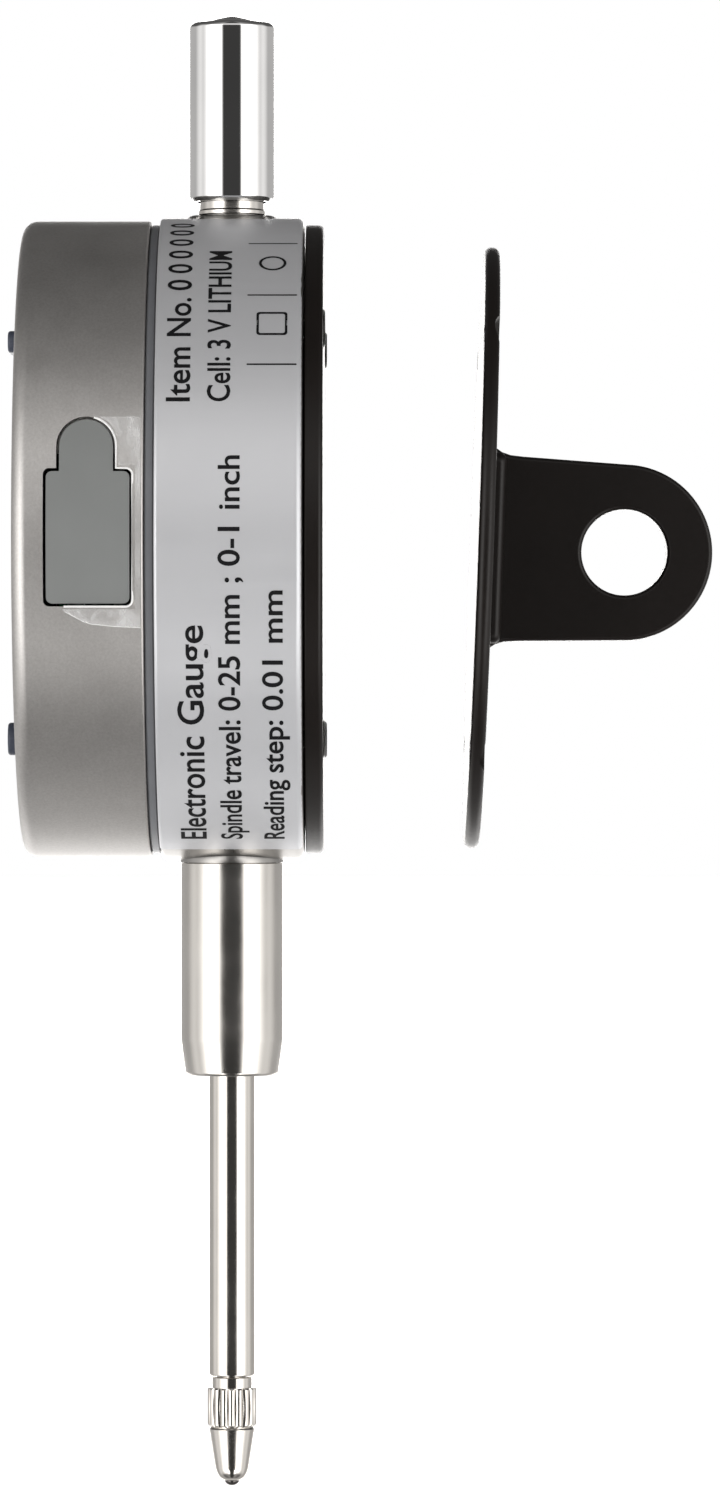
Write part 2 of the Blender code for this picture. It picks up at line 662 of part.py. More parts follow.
def dust_cap(centre):
    cap = empty("cap_axis", (0, 0, CAP_BOTTOM), centre)
    thread_bore = NECK_RADIUS + GAP
    rows = [
        (0, CAP_TOP),
        (CAP_RADIUS * 0.55, CAP_TOP - CAP_EDGE),
        (CAP_RADIUS * 0.9, CAP_SHOULDER + 2 * CAP_EDGE),
        (CAP_RADIUS, CAP_SHOULDER),
        (CAP_RADIUS, CAP_BOTTOM + CAP_EDGE),
        (CAP_RADIUS - CAP_EDGE, CAP_BOTTOM),
        (thread_bore, CAP_BOTTOM),
        (thread_bore, NECK_TOP + GAP),
        (CAP_BORE, NECK_TOP + GAP + thread_bore - CAP_BORE),
        (CAP_BORE, CAP_ROOF),
        (0, CAP_ROOF),
    ]
    profile = [(radius, height - CAP_BOTTOM) for radius, height in rows]
    piece("dust_cap", turned(profile, "Z", MEDIUM_ROUND), "chrome_cap", cap)


# ---- Spindle -----------------------------------------------------------------------------


def spindle(axis):
    hole = THREAD_RADIUS + GAP
    profile = [
        (0, SPINDLE_TOP),
        (SPINDLE_RADIUS - SPINDLE_CHAMFER, SPINDLE_TOP),
        (SPINDLE_RADIUS, SPINDLE_TOP - SPINDLE_CHAMFER),
        (SPINDLE_RADIUS, SPINDLE_BOTTOM + SPINDLE_CHAMFER),
        (SPINDLE_RADIUS - SPINDLE_CHAMFER, SPINDLE_BOTTOM),
        (hole, SPINDLE_BOTTOM),
        (hole, THREAD_TOP + GAP),
        (0, THREAD_TOP + GAP),
    ]
    piece("spindle", turned(profile, "Z", SMALL_ROUND), "spindle_steel", axis)


def contact_point(axis):
    low, high = COLLAR_SPAN
    socket = INSERT_SHANK_RADIUS + GAP
    socket_top = CONE_TIP - GAP + INSERT_SHANK_LENGTH + GAP
    profile = [
        (0, THREAD_TOP),
        (THREAD_RADIUS, THREAD_TOP),
        (THREAD_RADIUS, CONTACT_TOP),
        (CONTACT_NECK_RADIUS, CONTACT_TOP),
        (CONTACT_NECK_RADIUS, high),
        (COLLAR_RADIUS, high),
        (COLLAR_RADIUS, low),
        (CONE_TOP_RADIUS - FLUTE_DEPTH, low),
        (CONE_TIP_RADIUS, CONE_TIP),
        (socket, CONE_TIP),
        (socket, socket_top),
        (0, socket_top),
    ]
    sides = 2 * COLLAR_FLUTES
    shape = turned(profile, "Z", sides)
    for vertex in shape.verts:
        flat = Vector((vertex.co.x, vertex.co.y, 0))
        side = round(Vector((1, 0)).angle_signed(flat.xy) / (2 * pi) * sides) if flat.length else 0
        if abs(flat.length - COLLAR_RADIUS) < WELD and side % 2:
            vertex.co -= flat.normalized() * FLUTE_DEPTH
    piece("contact_point", shape, "spindle_steel", axis)


def contact_insert(axis):
    """Make the carbide tip: a shank in the contact point and a domed head below it."""
    seat = CONE_TIP - GAP
    height = seat - INSERT_TIP
    dome = [(INSERT_RADIUS * cos(a), seat - height * sin(a))
            for a in (radians(20), radians(45), radians(70))]
    profile = [(0, seat + INSERT_SHANK_LENGTH), (INSERT_SHANK_RADIUS, seat + INSERT_SHANK_LENGTH),
               (INSERT_SHANK_RADIUS, seat), (INSERT_RADIUS, seat), *dome, (0, INSERT_TIP)]
    piece("contact_insert", turned(profile, "Z", SMALL_ROUND), "carbide", axis)


def carriage(axis):
    """Make the block that clamps on the spindle, with the arm that carries the scale."""
    body = block((-CARRIAGE_HALF_WIDTH, CARRIAGE_HALF_WIDTH), CARRIAGE_DEPTH, CARRIAGE_SPAN)
    root = CARRIAGE_HALF_WIDTH - GAP
    arm = block((root, ARM_END), ARM_DEPTH, (CARRIAGE_SPAN[0] + GAP, ARM_TOP))
    body = join(body, arm)
    bore = rod(SPINDLE_RADIUS + GAP, (CARRIAGE_SPAN[0] - GAP, CARRIAGE_SPAN[1] + GAP), "Z")
    screw_hole = rod(SCREW_SHANK_RADIUS + GAP, (0, CARRIAGE_DEPTH[1] + GAP), "Y", SCREW_ROUND)
    pin_hole = rod(GUIDE_PIN_RADIUS + GAP, (-CARRIAGE_HALF_WIDTH - GAP, 0), "X", SCREW_ROUND)
    hook_hole = rod(ANCHOR_RADIUS + GAP, (ARM_DEPTH[0] - GAP, ARM_DEPTH[1] + GAP), "Y",
                    SCREW_ROUND)
    body = cut(body, bore, shifted(screw_hole, (0, 0, CARRIAGE_HOLES_Z)),
               shifted(pin_hole, (0, 0, CARRIAGE_HOLES_Z)),
               shifted(hook_hole, (SPRING_X, 0, HOOK_PIN_Z)))
    piece("carriage", body, "carriage_brass", axis)


def carriage_fittings(axis):
    seat = CARRIAGE_DEPTH[1] + GAP
    clamp = screw(SCREW_HEAD_RADIUS, (seat, seat + SCREW_HEAD_HEIGHT), SCREW_SHANK_RADIUS,
                  SPINDLE_RADIUS + GAP)
    piece("clamp_screw", clamp, "steel_screw", axis, (0, 0, CARRIAGE_HOLES_Z))
    guide = rod(GUIDE_PIN_RADIUS, GUIDE_PIN_SPAN, "X", SCREW_ROUND)
    piece("guide_pin", guide, "steel_screw", axis, (0, 0, CARRIAGE_HOLES_Z))
    hook = rod(ANCHOR_RADIUS, (ARM_DEPTH[0], PIN_BACK), "Y", SCREW_ROUND)
    piece("spring_hook_pin", hook, "steel_screw", axis, (SPRING_X, 0, HOOK_PIN_Z))
    strip = block((SENSOR_BOARD_WIDTH[0], ARM_END), SCALE_DEPTH, SCALE_SPAN)
    piece("scale_strip", strip, "board_green", axis)


# ---- Display unit ------------------------------------------------------------------------


def port_outline(grow=0.0):
    """Give the port cover's outline in y and z: a rounded rectangle with a round tab above."""
    front, back = PORT_DEPTH[0] - grow, PORT_DEPTH[1] + grow
    bottom, top = PORT_SPAN[0] - grow, PORT_SPAN[1] + grow
    corner = PORT_CORNER
    tab = TAB_RADIUS + grow
    tab_centre = (TAB_Y, TAB_TOP - TAB_RADIUS)
    outline = arc((front + corner, bottom + corner), corner, pi, 1.5 * pi, 2)
    outline += arc((back - corner, bottom + corner), corner, 1.5 * pi, 2 * pi, 2)
    outline += arc((back - corner, top - corner), corner, 0, 0.5 * pi, 2)
    outline.append((TAB_Y + tab, top))
    outline += arc(tab_centre, tab, 0, pi, 8)
    outline.append((TAB_Y - tab, top))
    outline += arc((front + corner, top - corner), corner, 0.5 * pi, pi, 2)
    return outline


def front_housing(axis):
    bend = (HOUSING_RADIUS - HOUSING_EDGE_RADIUS, HOUSING_FRONT + HOUSING_EDGE_RADIUS)
    profile = [
        (HOUSING_RADIUS - HOUSING_BACK_EDGE, HOUSING_BACK),
        (HOUSING_RADIUS, HOUSING_BACK - HOUSING_BACK_EDGE),
        *arc(bend, HOUSING_EDGE_RADIUS, 0, -pi / 2, 3),
        (MOUTH_RADIUS, HOUSING_FRONT),
        (MOUTH_RADIUS, LEDGE_DEPTH[0]),
        (LEDGE_RADIUS, LEDGE_DEPTH[0]),
        (LEDGE_RADIUS, LEDGE_DEPTH[1]),
        (HOUSING_BORE, LEDGE_DEPTH[1]),
        (HOUSING_BORE, HOUSING_WALL_FRONT),
        (HOUSING_HOLE, HOUSING_WALL_FRONT),
        (HOUSING_HOLE, HOUSING_BACK),
    ]
    shell = turned(profile, "Y", LARGE_ROUND)
    port = extruded(port_outline(GAP), "X", PORT_REACH)
    slot = block((-PORT_REACH[1], -HUB_RADIUS), (DRAWER_DEPTH[0] - GAP, DRAWER_DEPTH[1] + GAP),
                 (-DRAWER_HALF_WIDTH - GAP, DRAWER_HALF_WIDTH + GAP))
    piece("front_housing", cut(shell, port, slot), "bezel_metal", axis)


def face_panel(axis):
    panel = rod(FACE_RADIUS, FACE_DEPTH, "Y", LARGE_ROUND)
    through = (FACE_DEPTH[0] - GAP, FACE_DEPTH[1] + GAP)
    panel = cut(panel, extruded(centred_rectangle(WINDOW_SIZE, WINDOW_CORNER), "Y", through))
    for across, up in CORNERS:
        height, size = BUTTON_ROWS[up]
        opening = centred_rectangle((BUTTON_WIDTH, size), size / 2, GAP)
        panel = cut(panel, shifted(extruded(opening, "Y", through),
                                   (across * BUTTON_X, 0, height)))
        post = rod(POST_RADIUS, (FACE_DEPTH[1] - GAP, POST_BACK), "Y", SCREW_ROUND)
        hole = rod(POST_HOLE_RADIUS, (POST_HOLE_FRONT, POST_BACK + GAP), "Y", SCREW_ROUND)
        place = (across * POST_X, 0, up * POST_Z)
        panel = cut(join(panel, shifted(post, place)), shifted(hole, place))
    piece("face_panel", panel, "face_silver", axis)


def display_stack(axis):
    lens = extruded(centred_rectangle(WINDOW_SIZE, WINDOW_CORNER - GAP, -GAP), "Y", LENS_DEPTH)
    piece("lens", lens, "clear_window", axis)
    glass = extruded(centred_rectangle(LCD_SIZE), "Y", LCD_DEPTH)
    piece("lcd_glass", glass, "display_glass", axis)
    frame = extruded(centred_rectangle(LCD_FRAME_SIZE), "Y", LCD_FRAME_DEPTH)
    inside = extruded(centred_rectangle(LCD_SIZE, grow=GAP), "Y",
                      (LCD_FRAME_DEPTH[0] - GAP, LCD_FRAME_DEPTH[1] + GAP))
    piece("lcd_frame", cut(frame, inside), "black_polymer", axis)
    for name, z in (("contact_strip_upper", STRIP_Z), ("contact_strip_lower", -STRIP_Z)):
        strip = extruded(centred_rectangle(STRIP_SIZE), "Y", STRIP_DEPTH)
        piece(name, strip, "black_rubber", axis, (0, 0, z))


def main_board(axis):
    board = rod(BOARD_RADIUS, BOARD_DEPTH, "Y", LARGE_ROUND)
    seat = BOARD_DEPTH[1] + GAP
    for number, (across, up) in enumerate(CORNERS, 1):
        place = (across * POST_X, 0, up * POST_Z)
        hole = rod(POST_HOLE_RADIUS, (BOARD_DEPTH[0] - GAP, seat), "Y", SCREW_ROUND)
        board = cut(board, shifted(hole, place))
        fastener = screw(BOARD_SCREW_HEAD_RADIUS, (seat, BOARD_SCREW_SPAN[1]),
                         BOARD_SCREW_RADIUS, BOARD_SCREW_SPAN[0])
        piece(f"board_screw_{number}", fastener, "steel_screw", axis, place)
    piece("main_board", board, "board_green", axis)


def buttons(axis):
    """Make the four keys and the switch behind each of them."""
    for number, (across, up) in enumerate(CORNERS, 1):
        height, size = BUTTON_ROWS[up]
        place = (across * BUTTON_X, 0, height)
        key_axis = empty(f"button_axis_{number}", place, axis)
        cap = extruded(centred_rectangle((BUTTON_WIDTH, size), size / 2 - WELD), "Y",
                       (BUTTON_FRONT, BUTTON_FLANGE_DEPTH[0] + GAP))
        front = [face for face in cap.faces if face.calc_center_median().y < BUTTON_FRONT + WELD]
        bmesh.ops.bevel(cap, geom=front[0].edges[:], offset=BUTTON_EDGE, segments=1,
                        affect="EDGES")
        flange = extruded(centred_rectangle(BUTTON_FLANGE_SIZE), "Y", BUTTON_FLANGE_DEPTH)
        foot = rod(BUTTON_STEM_RADIUS, (BUTTON_FLANGE_DEPTH[1] - GAP, BUTTON_STEM_BACK), "Y",
                   SCREW_ROUND)
        piece(f"button_{number}", join(cap, flange, foot), "button_blue_grey", key_axis)
        switch = extruded(centred_rectangle(SWITCH_SIZE), "Y", SWITCH_DEPTH)
        piece(f"key_switch_{number}", switch, "black_polymer", axis, place)


def battery_drawer(axis):
    drawer = empty("drawer_axis", (BATTERY_X, 0, 0), axis)
    reach = asin(DRAWER_HALF_WIDTH / DRAWER_OUTER_RADIUS)
    outline = arc((0, 0), DRAWER_OUTER_RADIUS, pi - reach, pi + reach, DRAWER_ARC_STEPS)
    outline += [(DRAWER_INNER_END, -DRAWER_HALF_WIDTH), (DRAWER_INNER_END, DRAWER_HALF_WIDTH)]
    tray = shifted(extruded(outline, "Y", DRAWER_DEPTH), (-BATTERY_X, 0, 0))
    pocket = rod(BATTERY_RADIUS + GAP, (DRAWER_DEPTH[0] - GAP, DRAWER_DEPTH[1] + GAP), "Y",
                 MEDIUM_ROUND)
    piece("battery_tray", cut(tray, pocket), "black_polymer", drawer)
    front, back = BATTERY_DEPTH
    profile = [
        (0, back),
        (BATTERY_RADIUS - BATTERY_EDGE, back),
        (BATTERY_RADIUS, back - BATTERY_EDGE),
        (BATTERY_RADIUS, front + BATTERY_EDGE),
        (BATTERY_RADIUS - BATTERY_EDGE, front),
        (0, front),
    ]
    piece("battery", turned(profile, "Y", MEDIUM_ROUND), "battery_steel", drawer)


def battery_contact(axis):
    leaf_front, leaf_back = CONTACT_LEAF_DEPTH
    outline = [
        (CONTACT_LEAF_END, leaf_front),
        (CONTACT_UPRIGHT[0], leaf_front),
        (CONTACT_UPRIGHT[0], CONTACT_FRONT),
        (CONTACT_UPRIGHT[1], CONTACT_FRONT),
        (CONTACT_UPRIGHT[1], leaf_back),
        (CONTACT_LEAF_END, leaf_back),
    ]
    half = CONTACT_STRIP_WIDTH / 2
    piece("battery_contact", extruded(outline, "Z", (-half, half)), "spring_steel", axis)


def data_port(axis):
    socket = block(SOCKET_REACH, SOCKET_DEPTH, SOCKET_SPAN)
    pocket = block((SOCKET_REACH[1] - SOCKET_POCKET, SOCKET_REACH[1] + GAP),
                   (SOCKET_DEPTH[0] + SOCKET_WALL, SOCKET_DEPTH[1] - SOCKET_WALL),
                   (SOCKET_SPAN[0] + SOCKET_WALL, SOCKET_SPAN[1] - SOCKET_WALL))
    piece("data_socket", cut(socket, pocket), "black_polymer", axis)
    cover_axis = empty("port_axis", (HOUSING_RADIUS, TAB_Y, 0), axis)
    wall = tube(*PORT_COVER_RADII, (HOUSING_FRONT, HOUSING_BACK), "Y", LARGE_ROUND)
    lid = combined(extruded(port_outline(), "X", PORT_REACH), wall, "INTERSECT")
    lid = join(lid, block(PLUG_REACH, PLUG_DEPTH, PLUG_SPAN))
    piece("port_cover", shifted(lid, (-HOUSING_RADIUS, -TAB_Y, 0)), "port_grey", cover_axis)


# ---- Lug back ----------------------------------------------------------------------------


def lug_back(centre):
    front, back = PLATE_DEPTH
    middle = (front + back) / 2
    axis = empty("lug_back_axis", (0, middle, -PLATE_DROP), centre)
    edge = (back - front) / 2
    profile = [
        (0, back),
        *arc((PLATE_RADIUS - edge, middle), edge, pi / 2, -pi / 2, 4),
        (0, front),
    ]
    plate = turned(profile, "Y", LARGE_ROUND)
    pad = extruded(
        rounded_rectangle((-PAD_HALF_SIZE[0], -PAD_HALF_SIZE[1]), PAD_HALF_SIZE, CASE_EDGE),
        "Y", (middle, PAD_BACK))
    tip = arc((LUG_HOLE_Y, 0), LUG_END_RADIUS, -pi / 2, pi / 2, 16)
    outline = [(middle, LUG_ROOT_HALF_WIDTH), (middle, -LUG_ROOT_HALF_WIDTH), *tip]
    lug = extruded(outline, "X", (-LUG_HALF_THICKNESS, LUG_HALF_THICKNESS))
    hole = turned([
        (0, LUG_HALF_THICKNESS + GAP),
        (LUG_HOLE_RADIUS + LUG_HOLE_CHAMFER + GAP, LUG_HALF_THICKNESS + GAP),
        (LUG_HOLE_RADIUS, LUG_HALF_THICKNESS - LUG_HOLE_CHAMFER),
        (LUG_HOLE_RADIUS, -LUG_HALF_THICKNESS + LUG_HOLE_CHAMFER),
        (LUG_HOLE_RADIUS + LUG_HOLE_CHAMFER + GAP, -LUG_HALF_THICKNESS - GAP),
        (0, -LUG_HALF_THICKNESS - GAP),
    ], "Z", MEDIUM_ROUND)
    for vertex in hole.verts:
        vertex.co = Vector((vertex.co.z, vertex.co.y + LUG_HOLE_Y, -vertex.co.x))
    shape = cut(join(plate, pad, lug), hole)
    for x, z in screw_places(SCREW_CIRCLE):
        sink = turned([(0, back + GAP), (PLATE_SINK_RADIUS + GAP, back + GAP),
                       (PLATE_HOLE_RADIUS, back - PLATE_SINK_RADIUS + PLATE_HOLE_RADIUS),
                       (PLATE_HOLE_RADIUS, front - GAP), (0, front - GAP)], "Y", SCREW_ROUND)
        shape = cut(shape, shifted(sink, (x, 0, z)))
    shape = shifted(shape, (0, -middle, 0))
    shape.transform(Matrix.Rotation(-PLATE_LEAN, 4, "X"))
    piece("lug_back", shape, "black_enamel", axis)


def build():
    clear_scene()
    centre = empty("case_centre", (0, 0, CASE_CENTRE_Z))
    rear_case(centre)
    label(centre)
    back_cover(centre)
    back_screws(centre)
    stem(centre)
    bushes(centre)
    stop_ring(centre)
    sensor_board(centre)
    guide_rail(centre)
    return_spring(centre)
    spring_anchor(centre)
    display_bearing(centre)
    flex_ribbon(centre)
    dust_cap(centre)
    spindle_axis = empty("spindle_axis", (0, 0, 0), centre)
    spindle(spindle_axis)
    contact_point(spindle_axis)
    contact_insert(spindle_axis)
    carriage(spindle_axis)
    carriage_fittings(spindle_axis)
    display_axis = empty("display_axis", (0, 0, 0), centre)
    front_housing(display_axis)
    face_panel(display_axis)
    display_stack(display_axis)
    main_board(display_axis)
    buttons(display_axis)
    battery_drawer(display_axis)
    battery_contact(display_axis)
    data_port(display_axis)
    lug_back(centre)


build()
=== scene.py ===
import bmesh
import bpy
import json
from math import asin, atan2, cos, exp, pi, radians, sin, sqrt
from mathutils import Matrix, Vector


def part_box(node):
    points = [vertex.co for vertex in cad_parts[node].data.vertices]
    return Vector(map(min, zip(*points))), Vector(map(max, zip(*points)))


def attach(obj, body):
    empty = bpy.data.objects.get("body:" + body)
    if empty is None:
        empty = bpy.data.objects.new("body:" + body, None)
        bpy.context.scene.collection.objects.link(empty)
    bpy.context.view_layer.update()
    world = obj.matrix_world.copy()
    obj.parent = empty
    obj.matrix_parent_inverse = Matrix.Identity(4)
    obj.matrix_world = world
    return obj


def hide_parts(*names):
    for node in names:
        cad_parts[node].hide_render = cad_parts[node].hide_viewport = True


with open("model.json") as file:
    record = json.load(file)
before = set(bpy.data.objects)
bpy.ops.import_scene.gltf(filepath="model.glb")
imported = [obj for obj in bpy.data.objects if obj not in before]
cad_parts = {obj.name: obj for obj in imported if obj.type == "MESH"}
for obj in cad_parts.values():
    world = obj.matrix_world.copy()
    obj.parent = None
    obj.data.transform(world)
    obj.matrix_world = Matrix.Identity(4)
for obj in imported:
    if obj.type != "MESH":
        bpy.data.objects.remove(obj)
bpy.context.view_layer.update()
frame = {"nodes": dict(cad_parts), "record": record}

MM = 0.001
FINE = 192                    # sides of the case-sized rings
MEDIUM = 96
SMALL = 48
WELD = 0.001 * MM
SHARP = radians(38)
AXES = {"X": Vector((1, 0, 0)), "Y": Vector((0, 1, 0)), "Z": Vector((0, 0, 1))}
CORNERS = ((1, 1), (-1, 1), (-1, -1), (1, -1))


def span(node, axis):
    """Give where a CAD node starts and ends along X, Y or Z."""
    index = "XYZ".index(axis)
    low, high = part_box(node)
    return low[index], high[index]


def middle(node):
    """Give the x and z of a CAD node's middle."""
    return [sum(span(node, axis)) / 2 for axis in "XZ"]


# The case's centre line and the main sizes, all read from the frame
HOUSING = span("front_housing", "Y")
CENTRE_Z = sum(span("front_housing", "Z")) / 2
HOUSING_RADIUS = (span("front_housing", "Z")[1] - span("front_housing", "Z")[0]) / 2
COVER = span("back_cover", "Y")
COVER_RADIUS = (span("back_cover", "Z")[1] - span("back_cover", "Z")[0]) / 2
STEM_RADIUS = span("stem", "Y")[1]
SPINDLE_RADIUS = span("spindle", "Y")[1]
CAP_RADIUS = span("dust_cap", "Y")[1]
CASE_BACK = COVER[0] - 0.15 * MM
CASE_FRONT = HOUSING[1] + 1.1 * MM
CASE_RADIUS = 29.93 * MM
LABEL_RADIUS = 30.0 * MM

# Camera: level with a point below the case, far enough for the slight perspective
CAMERA_PLACE = (0.700, 0.01196, CENTRE_Z - 19.67 * MM)
PICTURE_HEIGHT = 140.2 * MM   # height of the view at the spindle's axis
SENSOR = 36.0


# ---- Node graphs ----


class Graph:
    """A short way to write node graphs."""

    def __init__(self, tree):
        self.tree = tree
        self.tree.nodes.clear()

    def node(self, kind, **settings):
        made = self.tree.nodes.new(kind)
        for name, value in settings.items():
            setattr(made, name, value)
        return made

    def feed(self, socket, value):
        if isinstance(value, bpy.types.NodeSocket):
            self.tree.links.new(value, socket)
        elif value is not None:
            socket.default_value = value

    def math(self, operation, first, second=None, third=None):
        made = self.node("ShaderNodeMath", operation=operation)
        for socket, value in zip(made.inputs, (first, second, third)):
            self.feed(socket, value)
        return made.outputs[0]

    def product(self, *factors):
        total = factors[0]
        for factor in factors[1:]:
            total = self.math("MULTIPLY", total, factor)
        return total

    def ramp(self, value, low, high, start=0.0, end=1.0):
        """Map low..high of a value smoothly to start..end."""
        made = self.node("ShaderNodeMapRange", interpolation_type="SMOOTHSTEP")
        for name, given in (("Value", value), ("From Min", low), ("From Max", high),
                            ("To Min", start), ("To Max", end)):
            self.feed(made.inputs[name], given)
        return made.outputs["Result"]

    def place(self, stretch=(1, 1, 1)):
        """Give object coordinates in millimetres, stretched along each axis."""
        coordinates = self.node("ShaderNodeTexCoord").outputs["Object"]
        mapping = self.node("ShaderNodeMapping")
        self.feed(mapping.inputs["Vector"], coordinates)
        mapping.inputs["Scale"].default_value = [factor / MM for factor in stretch]
        return mapping.outputs["Vector"]

    def noise(self, vector, scale, detail=3.0, roughness=0.5):
        made = self.node("ShaderNodeTexNoise")
        self.feed(made.inputs["Vector"], vector)
        for name, value in (("Scale", scale), ("Detail", detail), ("Roughness", roughness)):
            made.inputs[name].default_value = value
        return made.outputs["Fac"]

    def blend(self, factor, first, second):
        made = self.node("ShaderNodeMix", data_type="RGBA")
        for index, value in ((0, factor), (6, first), (7, second)):
            self.feed(made.inputs[index], value)
        return made.outputs[2]

    def bump(self, height, strength, distance, before=None):
        made = self.node("ShaderNodeBump")
        self.feed(made.inputs["Height"], height)
        made.inputs["Strength"].default_value = strength
        made.inputs["Distance"].default_value = distance
        if before is not None:
            self.feed(made.inputs["Normal"], before)
        return made.outputs["Normal"]

    def surface(self, **inputs):
        shader = self.node("ShaderNodeBsdfPrincipled")
        for name, value in inputs.items():
            self.feed(shader.inputs[name.replace("_", " ")], value)
        output = self.node("ShaderNodeOutputMaterial")
        self.feed(output.inputs["Surface"], shader.outputs["BSDF"])


def shade(colour, factor):
    return (*[channel * factor for channel in colour], 1.0)


def new_graph(name):
    made = bpy.data.materials.new(name)
    made.use_nodes = True
    return made, Graph(made.node_tree)


def ground_metal(name, colour, roughness, grain, stretch, bump=0.25, spread=0.08, blotch=0.12):
    """Make metal with fine tool or grinding lines; the lines run where the stretch is small."""
    made, graph = new_graph(name)
    lines = graph.noise(graph.place(stretch), grain, 4.0, 0.65)
    cloud = graph.noise(graph.place(), 0.16, 3.0)
    worn = graph.ramp(cloud, 0.35, 0.7, -spread / 2, spread / 2)
    smear = graph.math("MULTIPLY_ADD", lines, spread, roughness - spread / 2)
    rough = graph.math("ADD", smear, worn)
    tone = graph.blend(cloud, shade(colour, 1 - blotch), shade(colour, 1 + blotch / 2))
    graph.surface(Base_Color=tone, Metallic=1.0, Roughness=rough,
                  Normal=graph.bump(lines, bump, 0.01 * MM))
    return made


def satin_housing():
    """Make the display housing's satin silver: blasted grain, cloudy patches, faint turning."""
    made, graph = new_graph("satin_housing")
    grain = graph.noise(graph.place(), 4.0, 3.0, 0.7)
    rings = graph.noise(graph.place((0.05, 2.2, 0.05)), 2.0, 4.0, 0.7)
    cloud = graph.noise(graph.place(), 0.22, 5.0, 0.62)
    height = graph.math("MULTIPLY_ADD", rings, 0.6, grain)
    mottle = graph.math("MULTIPLY_ADD", grain, 1.5, graph.math("MULTIPLY_ADD", cloud, 0.7, -0.6))
    tone = graph.blend(mottle, (0.52, 0.505, 0.49, 1), (0.68, 0.665, 0.65, 1))
    rough = graph.math("MULTIPLY_ADD", cloud, 0.08, 0.42)
    graph.surface(Base_Color=tone, Metallic=1.0, Roughness=rough,
                  Normal=graph.bump(height, 0.5, 0.02 * MM))
    return made


def foil():
    """Make the label's silver foil: even grey, fine grain, and creases running front to back."""
    made, graph = new_graph("label_foil")
    grain = graph.noise(graph.place(), 6.0, 2.0)
    crease = graph.noise(graph.place((0.25, 0.04, 0.9)), 0.7, 3.0, 0.6)
    cloud = graph.noise(graph.place(), 0.1, 2.0)
    height = graph.math("MULTIPLY_ADD", crease, 6.0, grain)
    tone = graph.blend(cloud, (0.60, 0.605, 0.625, 1), (0.66, 0.665, 0.685, 1))
    rough = graph.math("MULTIPLY_ADD", crease, 0.12, 0.34)
    graph.surface(Base_Color=tone, Metallic=0.45, Roughness=rough,
                  Normal=graph.bump(height, 0.3, 0.01 * MM))
    return made


def moulded(name, colour, roughness, grain=3.0, bump=0.25, variation=0.12, depth=0.02,
            specular=0.5):
    """Make paint, plastic or rubber with an even fine texture and slight colour variation."""
    made, graph = new_graph(name)
    texture = graph.noise(graph.place(), grain, 3.0, 0.55)
    cloud = graph.noise(graph.place(), 0.25, 3.0)
    tone = graph.blend(cloud, shade(colour, 1 - variation), shade(colour, 1 + variation))
    rough = graph.math("MULTIPLY_ADD", texture, 0.12, roughness - 0.06)
    graph.surface(Base_Color=tone, Roughness=rough, Specular_IOR_Level=specular,
                  Normal=graph.bump(texture, bump, depth * MM))
    return made


def clear_sheet(name, tint, alpha, roughness, ripple, streaks=0.0):
    """Make clear film or window sheet, seen through by its alpha and with a rippled gloss."""
    made, graph = new_graph(name)
    wave = graph.noise(graph.place(), ripple, 3.0, 0.6)
    rough = graph.math("MULTIPLY_ADD", wave, 0.1, roughness)
    tone = graph.blend(wave, shade(tint, 0.92), shade(tint, 1.0))
    if streaks:
        haze = graph.noise(graph.place((1.0, 0.6, 0.25)), 0.8, 4.0, 0.65)
        alpha = graph.ramp(haze, 0.35, 0.68, alpha, alpha + streaks)
    graph.surface(Base_Color=tone, Roughness=rough, Alpha=alpha, IOR=1.5,
                  Normal=graph.bump(wave, 0.2, 0.05 * MM))
    return made


def circuit_board():
    """Make green board with lighter tracks under the lacquer."""
    made, graph = new_graph("circuit_board")
    tracks = graph.node("ShaderNodeTexBrick", offset=0.5)
    graph.feed(tracks.inputs["Vector"], graph.place((0.35, 0.35, 0.35)))
    tracks.inputs["Scale"].default_value = 1.0
    tracks.inputs["Mortar Size"].default_value = 0.06
    cloud = graph.noise(graph.place(), 1.2, 3.0)
    plain = graph.blend(cloud, (0.010, 0.10, 0.045, 1), (0.018, 0.15, 0.065, 1))
    tone = graph.blend(tracks.outputs["Fac"], plain, (0.05, 0.26, 0.12, 1))
    graph.surface(Base_Color=tone, Roughness=graph.math("MULTIPLY_ADD", cloud, 0.2, 0.3),
                  Normal=graph.bump(tracks.outputs["Fac"], 0.3, 0.02 * MM))
    return made


ROUND_Z = (0.03, 0.03, 1.0)   # stretches that run tool lines round an axis
ROUND_Y = (0.03, 1.0, 0.03)
EVEN = (1, 1, 1)

